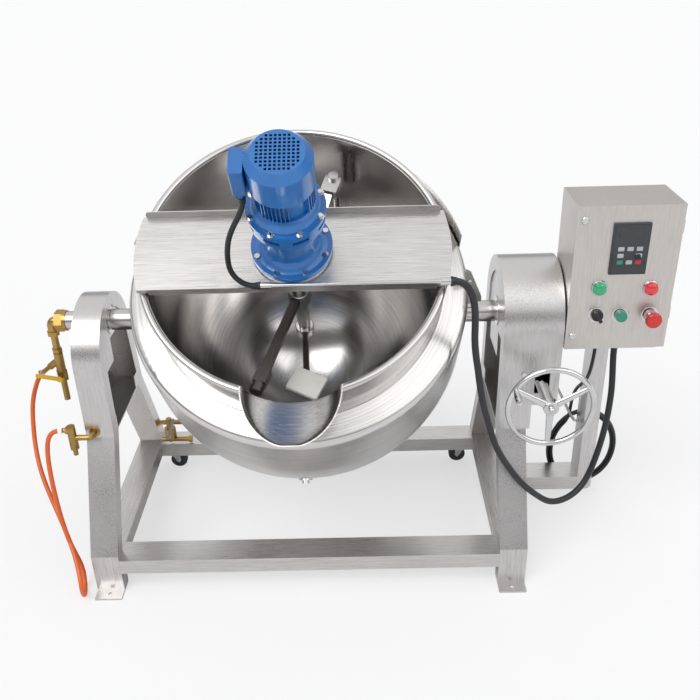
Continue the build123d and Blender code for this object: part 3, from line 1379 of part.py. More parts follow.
# condensate manifold on the inner side of the left rear leg
manifold_y = 269.5
manifold_x = -478.1
with BuildPart() as condensate_manifold:
    for level, end, radius in ((189, -431.2, 7.7), (123.2, -420, 7.7)):
        with BuildSketch(side.offset(-column_inner_face + (0 if level > 140 else 7))):
            with Locations((manifold_y, level)):
                Circle(radius)
        extrude(amount=column_inner_face + end - (0 if level > 140 else 7))
        with BuildSketch(side.offset(end)):
            with Locations((manifold_y, level)):
                RegularPolygon(11.2, 6)
        extrude(amount=11.2)
    with BuildSketch(side.offset(-column_inner_face)):
        with Locations((manifold_y, 189)):
            Circle(12.6)
    extrude(amount=4.2)
    with BuildSketch(ground.offset(133)):
        with Locations((manifold_x, manifold_y)):
            RegularPolygon(18.9, 8)
    extrude(amount=35)
    with BuildSketch(ground.offset(117.6)):
        with Locations((manifold_x, manifold_y)):
            Circle(9.1)
    extrude(amount=85.4)
    with BuildSketch(front.offset(-manifold_y)):
        with Locations((manifold_x, 150.5)):
            Circle(4.9)
    extrude(amount=26.6)
save(condensate_manifold.part, "condensate_manifold")

with BuildPart() as manifold_lever:
    with BuildSketch(Plane(front.offset(-manifold_y + 26.6 + seat).location * Pos(manifold_x, 150.5, 0))):
        Circle(7.7)
        with Locations((11.2, 35)):
            RectangleRounded(10.5, 72.8, 4.2, rotation=-18)
    extrude(amount=2.8)
save(manifold_lever.part, "manifold_lever")
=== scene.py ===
# %% [markdown]
# # A tilting steam jacketed kettle, dressed in Blender
# The imported CAD model is the frame: every piece made here except the supply hose rides on one of its
# bodies, in metres.
# The sheet metal, castings and turned parts are already right in shape, so they keep their
# solids and get real finishes. Hoses, cables, screws, lamp bezels and caps are made here.

# %% Load the frame
import math

import bmesh
import bpy
from mathutils import Matrix, Vector


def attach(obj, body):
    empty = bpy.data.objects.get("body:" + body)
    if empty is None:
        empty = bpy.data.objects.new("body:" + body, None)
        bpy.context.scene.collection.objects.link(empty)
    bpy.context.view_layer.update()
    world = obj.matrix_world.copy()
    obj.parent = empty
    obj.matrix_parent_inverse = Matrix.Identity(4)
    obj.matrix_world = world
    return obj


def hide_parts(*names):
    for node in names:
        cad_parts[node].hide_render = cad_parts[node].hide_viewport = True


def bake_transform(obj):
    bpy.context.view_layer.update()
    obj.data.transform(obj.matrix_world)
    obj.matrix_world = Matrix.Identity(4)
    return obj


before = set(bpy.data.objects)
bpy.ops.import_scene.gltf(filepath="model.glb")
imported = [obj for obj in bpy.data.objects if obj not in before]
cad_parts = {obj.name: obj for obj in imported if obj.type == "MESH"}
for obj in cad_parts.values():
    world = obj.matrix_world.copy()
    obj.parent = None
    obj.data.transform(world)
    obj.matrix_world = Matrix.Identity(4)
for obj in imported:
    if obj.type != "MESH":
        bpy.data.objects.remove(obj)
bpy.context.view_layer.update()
scene = bpy.context.scene
MM = 0.001
print("nodes:", len(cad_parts))

# %% [markdown]
# ## The kettle's own directions
# The pot hangs in two trunnions and rests tipped forward. Rings of screws and the turned finish
# follow its axis, so one matrix turns the pot's own coordinates into the room's.

# %% Kettle axes
TIP = math.radians(37)
TRUNNION = Vector((0, 0.3084, 0.693))
KETTLE = Matrix.Translation(TRUNNION) @ Matrix.Rotation(TIP, 4, "X")


# %% [markdown]
# ## Camera and light
# A long studio lens looks down at the front. Two wide, soft suns and a pale room keep colours
# close to how they are written, and brushed steel gets long gradients from them.

# %% Camera
LENS_PIXELS, FRAME_PIXELS, SENSOR = 822.7, 700, 36
camera = bpy.data.objects.new("camera", bpy.data.cameras.new("camera"))
scene.collection.objects.link(camera)
camera.data.sensor_width = SENSOR
camera.data.lens = LENS_PIXELS / FRAME_PIXELS * SENSOR
roll = -0.0294
right = Vector((0.999892, 0.014699, 0))
up = Vector((-0.00688, 0.46802, 0.88370))
across = (right * math.cos(roll) + up * math.sin(roll)).normalized()
upright = (up * math.cos(roll) - right * math.sin(roll)).normalized()
turn = Matrix((across, upright, across.cross(upright))).transposed()
camera.matrix_world = Matrix.Translation((0.1528, -1.6852, 1.6395)) @ turn.to_4x4()
scene.camera = camera

# %% Light, floor and background
scene.view_settings.view_transform = "Standard"


def sun(name, strength, spread, towards):
    lamp = bpy.data.objects.new(name, bpy.data.lights.new(name, "SUN"))
    lamp.data.energy, lamp.data.angle = strength, math.radians(spread)
    lamp.rotation_euler = Vector(towards).to_track_quat("-Z", "Y").to_euler()
    scene.collection.objects.link(lamp)


# The key light comes from the front left and above; a weaker one from the right lifts the shadows.
sun("key_light", 1.35, 40, (0.55, 0.75, -1.1))
sun("fill_light", 0.55, 60, (-0.8, 0.5, -0.7))


def add(tree, kind, settings=None, **inputs):
    """Add a node: settings are its properties, inputs are values or sockets to link."""
    n = tree.nodes.new(kind)
    for key, value in (settings or {}).items():
        setattr(n, key, value)
    for key, value in inputs.items():
        socket = n.inputs[int(key[1:])] if key[1:].isdigit() else n.inputs[key.replace("_", " ")]
        if isinstance(value, bpy.types.NodeSocket):
            tree.links.new(value, socket)
        else:
            socket.default_value = value
    return n


def rgba(code):
    """Linear colour of an sRGB hex value."""
    channels = [int(code[i:i + 2], 16) / 255 for i in (1, 3, 5)]
    return [c / 12.92 if c <= 0.04045 else ((c + 0.055) / 1.055) ** 2.4 for c in channels] + [1]


world = bpy.data.worlds.new("studio")
scene.world = world
world.use_nodes = True
tree = world.node_tree
tree.nodes.clear()
path = add(tree, "ShaderNodeLightPath")
seen = add(tree, "ShaderNodeMath", {"operation": "MAXIMUM"}, i0=path.outputs["Is Camera Ray"],
           i1=path.outputs["Is Transmission Ray"])
room = add(tree, "ShaderNodeBackground", Color=(0.96, 0.97, 1, 1), Strength=0.62)
backdrop = add(tree, "ShaderNodeBackground", Color=(1, 1, 1, 1), Strength=1)
# Steel mirrors the studio: white above and below, with a grey wall between them.
direction = add(tree, "ShaderNodeTexCoord").outputs["Generated"]
height = add(tree, "ShaderNodeSeparateXYZ", Vector=direction).outputs["Z"]
walls = add(tree, "ShaderNodeValToRGB", i0=height)
ramp = walls.color_ramp.elements
ramp[0].position, ramp[0].color = 0.02, (0.62, 0.62, 0.63, 1)
ramp[1].position, ramp[1].color = 0.62, (1, 1, 1, 1)
for position, level in ((0.16, 0.26), (0.30, 0.42), (0.42, 0.95)):
    ramp.new(position).color = (level, level, level * 1.02, 1)
studio = add(tree, "ShaderNodeBackground", Color=walls.outputs[0], Strength=1)
lit = add(tree, "ShaderNodeMixShader", i0=path.outputs["Is Glossy Ray"], i1=room.outputs[0],
          i2=studio.outputs[0])
mix = add(tree, "ShaderNodeMixShader", i0=seen.outputs[0], i1=lit.outputs[0], i2=backdrop.outputs[0])
add(tree, "ShaderNodeOutputWorld", Surface=mix.outputs[0])

# %% [markdown]
# ## Finishes
# Each finish starts from what the real one is. Brushed sheet shows fine parallel lines, turned and
# polished bowls show rings round their axis, and cast or painted parts are smooth with soft grime.

# %% Material builder
def new_material(name):
    material = bpy.data.materials.new(name)
    material.use_nodes = True
    material.node_tree.nodes.clear()
    return material, material.node_tree


def close(tree, shader):
    add(tree, "ShaderNodeOutputMaterial", Surface=shader.outputs[0])


def flat_coordinates(tree, stretch):
    """Object coordinates, stretched so that lines run along the axis with the small number."""
    place = add(tree, "ShaderNodeTexCoord").outputs["Object"]
    return add(tree, "ShaderNodeMapping", Vector=place, Scale=stretch).outputs[0], place


def round_coordinates(tree, stretch):
    """Radius, angle and height about the kettle's axis, for rings left by polishing."""
    place = add(tree, "ShaderNodeTexCoord").outputs["Object"]
    centred = add(tree, "ShaderNodeVectorMath", {"operation": "SUBTRACT"}, i0=place, i1=TRUNNION)
    level = add(tree, "ShaderNodeVectorRotate", {"rotation_type": "X_AXIS"},
                Vector=centred.outputs[0], Angle=-TIP)
    axes = add(tree, "ShaderNodeSeparateXYZ", Vector=level.outputs[0])
    x, y, h = axes.outputs
    angle = add(tree, "ShaderNodeMath", {"operation": "ARCTAN2"}, i0=y, i1=x).outputs[0]
    cross = add(tree, "ShaderNodeCombineXYZ", X=x, Y=y)
    radius = add(tree, "ShaderNodeVectorMath", {"operation": "LENGTH"}, i0=cross.outputs[0])
    rings = add(tree, "ShaderNodeCombineXYZ", X=radius.outputs["Value"], Y=angle, Z=h)
    return add(tree, "ShaderNodeMapping", Vector=rings.outputs[0], Scale=stretch).outputs[0], place


def lined_metal(name, dark, light, low, high, coordinates, stretch, depth=0.00003, smudge=0.12):
    """Steel brushed with abrasive belt or wheel: lines in tone, in gloss and in relief."""
    material, tree = new_material(name)
    lines_at, place = coordinates(tree, stretch)
    lines = add(tree, "ShaderNodeTexNoise", Vector=lines_at, Scale=1, Detail=4,
                Roughness=0.7).outputs["Fac"]
    cloud = add(tree, "ShaderNodeTexNoise", Vector=place, Scale=9, Detail=2,
                Roughness=0.5).outputs["Fac"]
    shade = add(tree, "ShaderNodeMapRange", i0=lines, i1=0.25, i2=0.75).outputs[0]
    tone = add(tree, "ShaderNodeMix", {"data_type": "RGBA"}, i0=shade, i6=rgba(dark),
               i7=rgba(light)).outputs[2]
    gloss = add(tree, "ShaderNodeMapRange", i0=lines, i1=0.25, i2=0.75, i3=low, i4=high).outputs[0]
    soft = add(tree, "ShaderNodeMath", {"operation": "MULTIPLY_ADD"}, i0=cloud, i1=smudge, i2=gloss)
    relief = add(tree, "ShaderNodeBump", Strength=0.35, Distance=depth, Height=lines)
    close(tree, add(tree, "ShaderNodeBsdfPrincipled", Base_Color=tone, Metallic=1,
                    Roughness=soft.outputs[0], Normal=relief.outputs[0]))
    return material


def smooth_coat(name, main, worn, rough, metallic=0.0, coat=0.0, grain=220, depth=0.00002):
    """Cast, moulded or painted surface: slight change of tone, soft grime and a fine skin."""
    material, tree = new_material(name)
    place = add(tree, "ShaderNodeTexCoord").outputs["Object"]
    patches = add(tree, "ShaderNodeTexNoise", Vector=place, Scale=7, Detail=4,
                  Roughness=0.6).outputs["Fac"]
    skin = add(tree, "ShaderNodeTexNoise", Vector=place, Scale=grain, Detail=2,
               Roughness=0.5).outputs["Fac"]
    shade = add(tree, "ShaderNodeMapRange", i0=patches, i1=0.35, i2=0.7).outputs[0]
    tone = add(tree, "ShaderNodeMix", {"data_type": "RGBA"}, i0=shade, i6=rgba(main),
               i7=rgba(worn)).outputs[2]
    gloss = add(tree, "ShaderNodeMapRange", i0=patches, i1=0.3, i2=0.7, i3=rough * 0.85,
                i4=min(1, rough * 1.2)).outputs[0]
    relief = add(tree, "ShaderNodeBump", Strength=0.3, Distance=depth, Height=skin)
    close(tree, add(tree, "ShaderNodeBsdfPrincipled", Base_Color=tone, Metallic=metallic,
                    Roughness=gloss, Coat_Weight=coat, Normal=relief.outputs[0]))
    return material


def lamp_lens(name, middle, left, right):
    """Clear coated lens: one colour left of the middle of the door, another right of it."""
    material, tree = new_material(name)
    place = add(tree, "ShaderNodeTexCoord").outputs["Object"]
    x = add(tree, "ShaderNodeSeparateXYZ", Vector=place).outputs["X"]
    side = add(tree, "ShaderNodeMath", {"operation": "GREATER_THAN"}, i0=x, i1=middle).outputs[0]
    colour = add(tree, "ShaderNodeMix", {"data_type": "RGBA"}, i0=side, i6=rgba(left),
                 i7=rgba(right)).outputs[2]
    close(tree, add(tree, "ShaderNodeBsdfPrincipled", Base_Color=colour, Roughness=0.12,
                    Coat_Weight=1.0))
    return material


# %% Finishes of this kettle
# One brushed line is 0.3 to 0.6 mm wide on the real sheet; drawn about 1.5 mm so that it shows.
FINE, LONG = 650, 12
MATERIALS = {
    # Stainless sheet off an abrasive belt: grey-silver, its highlights drawn out across the lines.
    "brushed_upright": lined_metal("stainless_brushed_upright", "#adabaa", "#dddbd9", 0.18, 0.30,
                                   flat_coordinates, (FINE, FINE, LONG)),
    "brushed_level": lined_metal("stainless_brushed_along_beams", "#adabaa", "#dedcda", 0.18, 0.30,
                                 flat_coordinates, (LONG, FINE, FINE)),
    "brushed_rails": lined_metal("stainless_brushed_along_rails", "#a8a6a4", "#d8d6d4", 0.18, 0.30,
                                 flat_coordinates, (FINE, LONG, FINE)),
    # The pot is polished inside for food, so it mirrors the studio almost clearly.
    "bowl": lined_metal("stainless_polished_inside_pot", "#b6b4b2", "#dedcda", 0.08, 0.16,
                        round_coordinates, (500, 1.2, 500), 0.00002),
    # The jacket is ground on a turning rig: faint rings, gloss between sheet and bowl.
    "jacket": lined_metal("stainless_ground_jacket", "#b8b6b4", "#e6e4e2", 0.13, 0.22,
                          round_coordinates, (420, 1.2, 420)),
    # The control box is thinner sheet with a duller, warmer brush.
    "box": lined_metal("stainless_control_box", "#b9b4af", "#d9d4cf", 0.28, 0.40,
                       flat_coordinates, (FINE, FINE, LONG), 0.00002),
    # Turned bars have a satin skin, and chromed ones a hard, even shine.
    "satin": smooth_coat("stainless_turned_satin", "#cfcdcb", "#b5b3b1", 0.20, metallic=1),
    "polished": smooth_coat("chromed_steel", "#d8d8d8", "#bdbdbd", 0.10, metallic=1, depth=0.000004),
    # The scraper arm is left as rolled: dull and dark beside the polished pot.
    "dark": lined_metal("stainless_dull_arm", "#4c4946", "#6d6965", 0.34, 0.46, flat_coordinates,
                        (300, 300, 20)),
    # Cast iron housings under a thick, glossy enamel that softens their edges.
    "blue": smooth_coat("blue_enamel_paint", "#1f6fb8", "#185b9c", 0.30, coat=0.6, depth=0.00004,
                        grain=120),
    # Brass fittings darken unevenly where they are handled and where steam leaks.
    "brass": smooth_coat("cast_and_turned_brass", "#b9995a", "#8f7340", 0.30, metallic=1),
    # The worm wheel is cut steel with a film of old grease.
    "gear": smooth_coat("machined_gear_steel", "#77767a", "#4c4a48", 0.42, metallic=1),
    # PTFE looks waxy: white, never glossy, with a slight yellowing.
    "ptfe": smooth_coat("white_ptfe_paddle", "#e8e6e0", "#d6d2c8", 0.45),
    # Rubber and PVC are near black with a broad sheen; silicone shows its own bright colour.
    "hose": smooth_coat("black_rubber_hose", "#191a1d", "#242529", 0.42, grain=500, depth=0.00006),
    "cable": smooth_coat("black_pvc_cable", "#141517", "#202124", 0.38, grain=500, depth=0.00005),
    "orange": smooth_coat("orange_silicone_hose", "#e2682a", "#c9551c", 0.36, grain=400,
                          depth=0.00005),
    # Caster rubber is matt from the floor; moulded ABS has a very fine even texture.
    "tread": smooth_coat("grey_black_caster_rubber", "#26272a", "#35363a", 0.6, grain=300,
                         depth=0.0001),
    "keypad": smooth_coat("moulded_grey_abs", "#3a3d42", "#2f3236", 0.45, grain=900),
    "black": smooth_coat("moulded_black_abs", "#121315", "#1d1e20", 0.35, grain=900),
    # Buttons and dipped handles are coloured right through and worn smooth where touched.
    "green": smooth_coat("moulded_green_button", "#1f8f72", "#187a60", 0.28, coat=0.3),
    "red": smooth_coat("moulded_red_button", "#c8201c", "#a81714", 0.28, coat=0.4),
    "yellow": smooth_coat("yellow_dipped_handle", "#e0b422", "#c49a17", 0.42, grain=500),
    # Keys are painted, the display is dark glass, and the lenses are clear coloured plastic.
    "silver": smooth_coat("silver_painted_key", "#b4b8bc", "#9da1a5", 0.35),
    "display": smooth_coat("black_glass_display", "#07090c", "#0b0d11", 0.08, coat=1, depth=0.000002),
    "lens": lamp_lens("coloured_lamp_lens", 0.8015, "#1fa06a", "#d3222a"),
}
print("finishes:", len(MATERIALS))

# %% [markdown]
# ## Finishes on the CAD solids
# A solid keeps its shape and swaps its material slots. Columns and legs are brushed upwards, beams
# and rails along their length, and the pot and jacket round their axis.

# %% Give each solid its finish
FINISH = {
    "brushed_upright": "left_column right_column front_leg_left front_leg_right rear_leg_left "
                       "rear_leg_right gear_case control_post",
    "brushed_level": "front_beam rear_beam bridge control_bracket",
    "brushed_rails": "side_rail_left side_rail_right",
    "bowl": "inner_pot",
    "jacket": "steam_jacket rear_guard pouring_spout",
    "box": "control_box box_door",
    "satin": "trunnion_left trunnion_right scraper_post paddle_holder agitator_shaft "
             "trunnion_bearings",
    "polished": "worm_shaft handwheel handwheel_grip switch_collars manifold_lever cable_conduit "
                "caster_fork_left caster_fork_right",
    "dark": "scraper_arm",
    "blue": "gear_reducer motor_body fan_cover terminal_box",
    "brass": "steam_union steam_branch inlet_stub condensate_manifold",
    "gear": "worm_wheel",
    "ptfe": "paddle_blade",
    "tread": "caster_wheel_left caster_wheel_right",
    "keypad": "keypad_panel",
    "black": "selector_knob keypad_knob motor_fan",
    "green": "start_button",
    "red": "stop_button",
    "yellow": "steam_lever",
    "lens": "pilot_lamps",
}
SOLIDS = {o.name.split(".")[0]: o for o in bpy.data.objects
          if o.type == "MESH" and o.name.split(".")[0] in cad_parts}
for finish, names in FINISH.items():
    for name in names.split():
        solid = SOLIDS[name]
        for material_slot in solid.material_slots:
            material_slot.material = MATERIALS[finish]
        if not solid.material_slots:
            print("no slots on", name)
print("dressed solids:", sum(len(v.split()) for v in FINISH.values()))


# %% [markdown]
# ## Making pieces
# Bezels, clips and sleeves were turned or pressed, so a profile spun round an axis gives them
# truly; a subdivided block would need many edges for the same edge roundness. Keys are small
# moulded caps, for which a bevelled block is enough. Screws repeat evenly on circles, so one
# Geometry Nodes tree with named sizes sets all of them.

# %% Makers
def finish_piece(name, mesh, body, finish, place=None):
    """Put a mesh at its place, give it its finish and let it ride on its body."""
    if place is not None:
        mesh.transform(place)
    piece = bpy.data.objects.new(name, mesh)
    scene.collection.objects.link(piece)
    mesh.materials.clear()
    mesh.materials.append(MATERIALS[finish])
    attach(piece, body)
    return piece


def lathe(name, profile, place, body, finish, steps=48):
    """Turn a closed profile of (radius, height) points in millimetres about its own Z axis."""
    bm = bmesh.new()
    rings = []
    for k in range(steps):
        a = 2 * math.pi * k / steps
        rings.append([bm.verts.new((r * MM * math.cos(a), r * MM * math.sin(a), h * MM))
                      for r, h in profile])
    for k in range(steps):
        one, two = rings[k], rings[(k + 1) % steps]
        for i in range(len(profile)):
            j = (i + 1) % len(profile)
            bm.faces.new((one[i], two[i], two[j], one[j]))
    bmesh.ops.remove_doubles(bm, verts=bm.verts, dist=1e-7)
    bmesh.ops.dissolve_degenerate(bm, edges=bm.edges, dist=1e-7)
    bmesh.ops.recalc_face_normals(bm, faces=bm.faces)
    mesh = bpy.data.meshes.new(name)
    bm.to_mesh(mesh)
    bm.free()
    mesh.shade_smooth()
    mesh.set_sharp_from_angle(angle=math.radians(35))
    return finish_piece(name, mesh, body, finish, place)


def plate(name, width, height, thickness, rounding, place, body, finish):
    """A thin cap with rounded edges, its back on the XY plane of its place."""
    bm = bmesh.new()
    bmesh.ops.create_cube(bm, size=1)
    bmesh.ops.scale(bm, vec=(width * MM, height * MM, thickness * MM), verts=bm.verts)
    bmesh.ops.translate(bm, vec=(0, 0, thickness * MM / 2), verts=bm.verts)
    bmesh.ops.bevel(bm, geom=bm.edges, offset=rounding * MM, segments=3, affect="EDGES")
    mesh = bpy.data.meshes.new(name)
    bm.to_mesh(mesh)
    bm.free()
    mesh.shade_smooth()
    mesh.set_sharp_from_angle(angle=math.radians(40))
    return finish_piece(name, mesh, body, finish, place)


def ring_tree(material):
    """Geometry Nodes: hexagon screws with washers on a circle, from named sizes."""
    group = bpy.data.node_groups.new("screw_ring", "GeometryNodeTree")
    group.interface.new_socket("Geometry", in_out="OUTPUT", socket_type="NodeSocketGeometry")
    for name, kind, value in (("Count", "NodeSocketInt", 8), ("Ring radius", "NodeSocketFloat", 0.1),
                              ("Across corners", "NodeSocketFloat", 0.013)):
        socket = group.interface.new_socket(name, in_out="INPUT", socket_type=kind)
        socket.default_value = value
    given = add(group, "NodeGroupInput")
    size = given.outputs["Across corners"]
    half = add(group, "ShaderNodeMath", {"operation": "MULTIPLY"}, i0=size, i1=0.5).outputs[0]
    tall = add(group, "ShaderNodeMath", {"operation": "MULTIPLY"}, i0=size, i1=0.42).outputs[0]
    lift = add(group, "ShaderNodeMath", {"operation": "MULTIPLY"}, i0=size, i1=0.3).outputs[0]
    wide = add(group, "ShaderNodeMath", {"operation": "MULTIPLY"}, i0=size, i1=0.68).outputs[0]
    thin = add(group, "ShaderNodeMath", {"operation": "MULTIPLY"}, i0=size, i1=0.1).outputs[0]
    head = add(group, "GeometryNodeMeshCylinder", Vertices=6, Radius=half, Depth=tall)
    washer = add(group, "GeometryNodeMeshCylinder", Vertices=24, Radius=wide, Depth=thin)
    raised = add(group, "ShaderNodeCombineXYZ", Z=lift)
    moved = add(group, "GeometryNodeTransform", Geometry=head.outputs["Mesh"],
                Translation=raised.outputs[0])
    screw = add(group, "GeometryNodeJoinGeometry")
    for source in (moved.outputs[0], washer.outputs["Mesh"]):
        group.links.new(source, screw.inputs[0])
    circle = add(group, "GeometryNodeMeshCircle", Vertices=given.outputs["Count"],
                 Radius=given.outputs["Ring radius"])
    spread = add(group, "GeometryNodeInstanceOnPoints", Points=circle.outputs[0],
                 Instance=screw.outputs[0])
    real = add(group, "GeometryNodeRealizeInstances", Geometry=spread.outputs[0])
    coat = add(group, "GeometryNodeSetMaterial", Geometry=real.outputs[0], Material=material)
    out = add(group, "NodeGroupOutput")
    group.links.new(coat.outputs[0], out.inputs[0])
    return group


SCREWS = ring_tree(MATERIALS["polished"])


def screw_ring(name, count, radius, size, place, body):
    """Screws on a circle: evaluate the tree once and keep the plain mesh."""
    carrier = bpy.data.objects.new(name + "_maker", bpy.data.meshes.new(name + "_maker"))
    scene.collection.objects.link(carrier)
    modifier = carrier.modifiers.new("screws", "NODES")
    modifier.node_group = SCREWS
    for item in SCREWS.interface.items_tree:
        if item.in_out == "INPUT":
            modifier[item.identifier] = {"Count": count, "Ring radius": radius * MM,
                                         "Across corners": size * MM}[item.name]
    bpy.context.view_layer.update()
    mesh = bpy.data.meshes.new_from_object(
        carrier.evaluated_get(bpy.context.evaluated_depsgraph_get()))
    bpy.data.objects.remove(carrier)
    return finish_piece(name, mesh, body, "polished", place)


def turned(about, origin):
    """Place whose Z axis points along about."""
    return Matrix.Translation(origin) @ Vector(about).to_track_quat("Z", "Y").to_matrix().to_4x4()


def kettle_place(h, angle=0.0):
    """Place on the pot's axis, h millimetres above the trunnions, turned round that axis."""
    return KETTLE @ Matrix.Translation((0, 0, h * MM)) @ Matrix.Rotation(angle, 4, "Z")

# %% [markdown]
# ## Hoses and cables
# Each one is a fixed length of something flexible. It could be drawn as straight runs with rounded
# corners, but that looks like bent wire. Its centre line is a NURBS curve instead, steered by the
# same route as the plain tube in the CAD model: out of its gland, down under its own weight, and
# into the next fitting.

# %% Routes, in metres
MOTOR_CABLE_POINTS = [
    (-0.0850, -0.0513, 1.1354), (-0.0850, -0.0344, 1.1131), (-0.0966, -0.0243, 1.0856),
    (-0.1120, -0.0189, 1.0599), (-0.1246, -0.0121, 1.0335), (-0.1323, -0.0023, 1.0041),
    (-0.1358, 0.0084, 0.9736), (-0.1344, 0.0177, 0.9438), (-0.1211, 0.0233, 0.9190),
    (-0.0966, 0.0259, 0.9025), (-0.0700, 0.0259, 0.9025),
]
SUPPLY_POINTS = [
    (0.3595, 0.0259, 0.9025), (0.3749, 0.0259, 0.9025), (0.3906, 0.0270, 0.8953),
    (0.4032, 0.0284, 0.8806), (0.4130, 0.0298, 0.8568), (0.4186, 0.0319, 0.8253),
    (0.4207, 0.0340, 0.7882), (0.4214, 0.0368, 0.7476), (0.4263, 0.0389, 0.7056),
    (0.4340, 0.0410, 0.6636), (0.4403, 0.0431, 0.6216), (0.4480, 0.0452, 0.5796),
    (0.4585, 0.0480, 0.5383), (0.4704, 0.0515, 0.4977), (0.4823, 0.0550, 0.4578),
    (0.4963, 0.0592, 0.4186), (0.5152, 0.0634, 0.3822), (0.5362, 0.0655, 0.3479),
    (0.5579, 0.0683, 0.3150), (0.5831, 0.0732, 0.2842), (0.6090, 0.0809, 0.2562),
    (0.6433, 0.0949, 0.2219), (0.6664, 0.1033, 0.2100), (0.6909, 0.1138, 0.2058),
    (0.7161, 0.1257, 0.2086), (0.7392, 0.1369, 0.2198), (0.7581, 0.1474, 0.2366),
    (0.7735, 0.1565, 0.2653), (0.7861, 0.1649, 0.3010), (0.7973, 0.1733, 0.3416),
    (0.8064, 0.1824, 0.3822), (0.8134, 0.1915, 0.4228), (0.8183, 0.2013, 0.4620),
    (0.8218, 0.2118, 0.4998), (0.8225, 0.2230, 0.5362), (0.8225, 0.2328, 0.5684),
    (0.8219, 0.2384, 0.6006), (0.8219, 0.2384, 0.6356),
]
CABLE_POINTS = [
    (0.7820, 0.2692, 0.6356), (0.7820, 0.2692, 0.6006), (0.7833, 0.2762, 0.5642),
    (0.7840, 0.2902, 0.5152), (0.7847, 0.3112, 0.4788), (0.7847, 0.3392, 0.4480),
    (0.7847, 0.3700, 0.4200), (0.7840, 0.3994, 0.3906), (0.7840, 0.4225, 0.3570),
    (0.7854, 0.4386, 0.3192), (0.7896, 0.4463, 0.2786),
]
ORANGE_POINTS = [
    (-0.7271, 0.3084, 0.5390), (-0.7439, 0.3084, 0.5264), (-0.7644, 0.3028, 0.4830),
    (-0.7749, 0.2958, 0.4480), (-0.7791, 0.2860, 0.4130), (-0.7791, 0.2720, 0.3794),
    (-0.7756, 0.2524, 0.3458), (-0.7672, 0.2272, 0.3122), (-0.7532, 0.1978, 0.2814),
    (-0.7350, 0.1684, 0.2534), (-0.7140, 0.1390, 0.2254), (-0.6916, 0.1096, 0.1960),
    (-0.6720, 0.0830, 0.1680), (-0.6538, 0.0564, 0.1428), (-0.6370, 0.0298, 0.1197),
    (-0.6244, 0.0032, 0.0959), (-0.6146, -0.0206, 0.0763), (-0.6125, -0.0290, 0.0588),
    (-0.6125, -0.0290, 0.0385), (-0.6146, -0.0199, 0.0206), (-0.6188, -0.0038, 0.0091),
    (-0.6237, 0.0151, 0.0070), (-0.6286, 0.0340, 0.0126), (-0.6321, 0.0473, 0.0273),
    (-0.6342, 0.0529, 0.0448), (-0.6377, 0.0536, 0.0742), (-0.6447, 0.0522, 0.1078),
    (-0.6531, 0.0543, 0.1428), (-0.6608, 0.0606, 0.1792), (-0.6678, 0.0690, 0.2156),
    (-0.6734, 0.0781, 0.2534), (-0.6783, 0.0879, 0.2898), (-0.6825, 0.0984, 0.3262),
    (-0.6853, 0.1089, 0.3626), (-0.6860, 0.1194, 0.3962), (-0.6825, 0.1285, 0.4263),
    (-0.6727, 0.1327, 0.4445), (-0.6559, 0.1334, 0.4550), (-0.6349, 0.1334, 0.4550),
]

# %% Makers for hoses and cables
def smooth_line(name, points, radius):
    """A curve of one NURBS spline with a round section."""
    line = bpy.data.curves.new(name, "CURVE")
    line.dimensions = "3D"
    line.resolution_u = 6
    line.bevel_depth = radius
    line.bevel_resolution = 5
    line.use_fill_caps = True
    spline = line.splines.new("NURBS")
    spline.points.add(len(points) - 1)
    for knot, point in zip(spline.points, points):
        knot.co = (*point, 1)
    spline.order_u = 3
    spline.use_endpoint_u = True
    return line


def centre_line(name, points):
    """Points that the smooth line passes, read from the same spline with no section."""
    bare = bpy.data.objects.new(name + "_line", smooth_line(name + "_line", points, 0))
    scene.collection.objects.link(bare)
    bpy.context.view_layer.update()
    mesh = bpy.data.meshes.new_from_object(
        bare.evaluated_get(bpy.context.evaluated_depsgraph_get()))
    path = [v.co.copy() for v in mesh.vertices]
    bpy.data.objects.remove(bare)
    length = sum((b - a).length for a, b in zip(path, path[1:]))
    print(name, "is", round(length, 3), "m long")
    return path, length


def flexible(name, points, diameter, finish, body):
    line = smooth_line(name, points, diameter / 2)
    line.materials.append(MATERIALS[finish])
    piece = bpy.data.objects.new(name, line)
    scene.collection.objects.link(piece)
    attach(piece, body)
    return piece, centre_line(name, points)[1]


def relief(name, start, towards, radius, length, body, slot="black_rubber", finish="hose"):
    """Tapered sleeve with ribs where a cable leaves its gland."""
    a, b = Vector(start), Vector(towards)
    r = radius
    steps = [(0, 0), (r + 3.2, 0), (r + 3.2, 4)]
    for k in range(5):
        h = 4 + (length - 6) * k / 5
        steps += [(r + 2.6 - 0.38 * k, h + 1), (r + 2.6 - 0.38 * k, h + (length - 6) / 5 - 1.4),
                  (r + 1.8 - 0.38 * k, h + (length - 6) / 5 - 1)]
    steps += [(r + 0.4, length - 1), (r + 0.2, length), (0, length)]
    return lathe(name, steps, turned(b - a, a), body, finish)


# %% Motor cable, from the terminal box to the conduit on the bridge
motor_lead, lead_length = flexible("motor_lead", MOTOR_CABLE_POINTS, 0.0126, "cable",
                                   "kettle")
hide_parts("motor_cable")
lead_reliefs = [
    relief("motor_lead_sleeve", MOTOR_CABLE_POINTS[0], MOTOR_CABLE_POINTS[1], 6.3, 24, "kettle"),
    relief("conduit_sleeve", MOTOR_CABLE_POINTS[-1], MOTOR_CABLE_POINTS[-2], 6.3, 22, "kettle"),
]
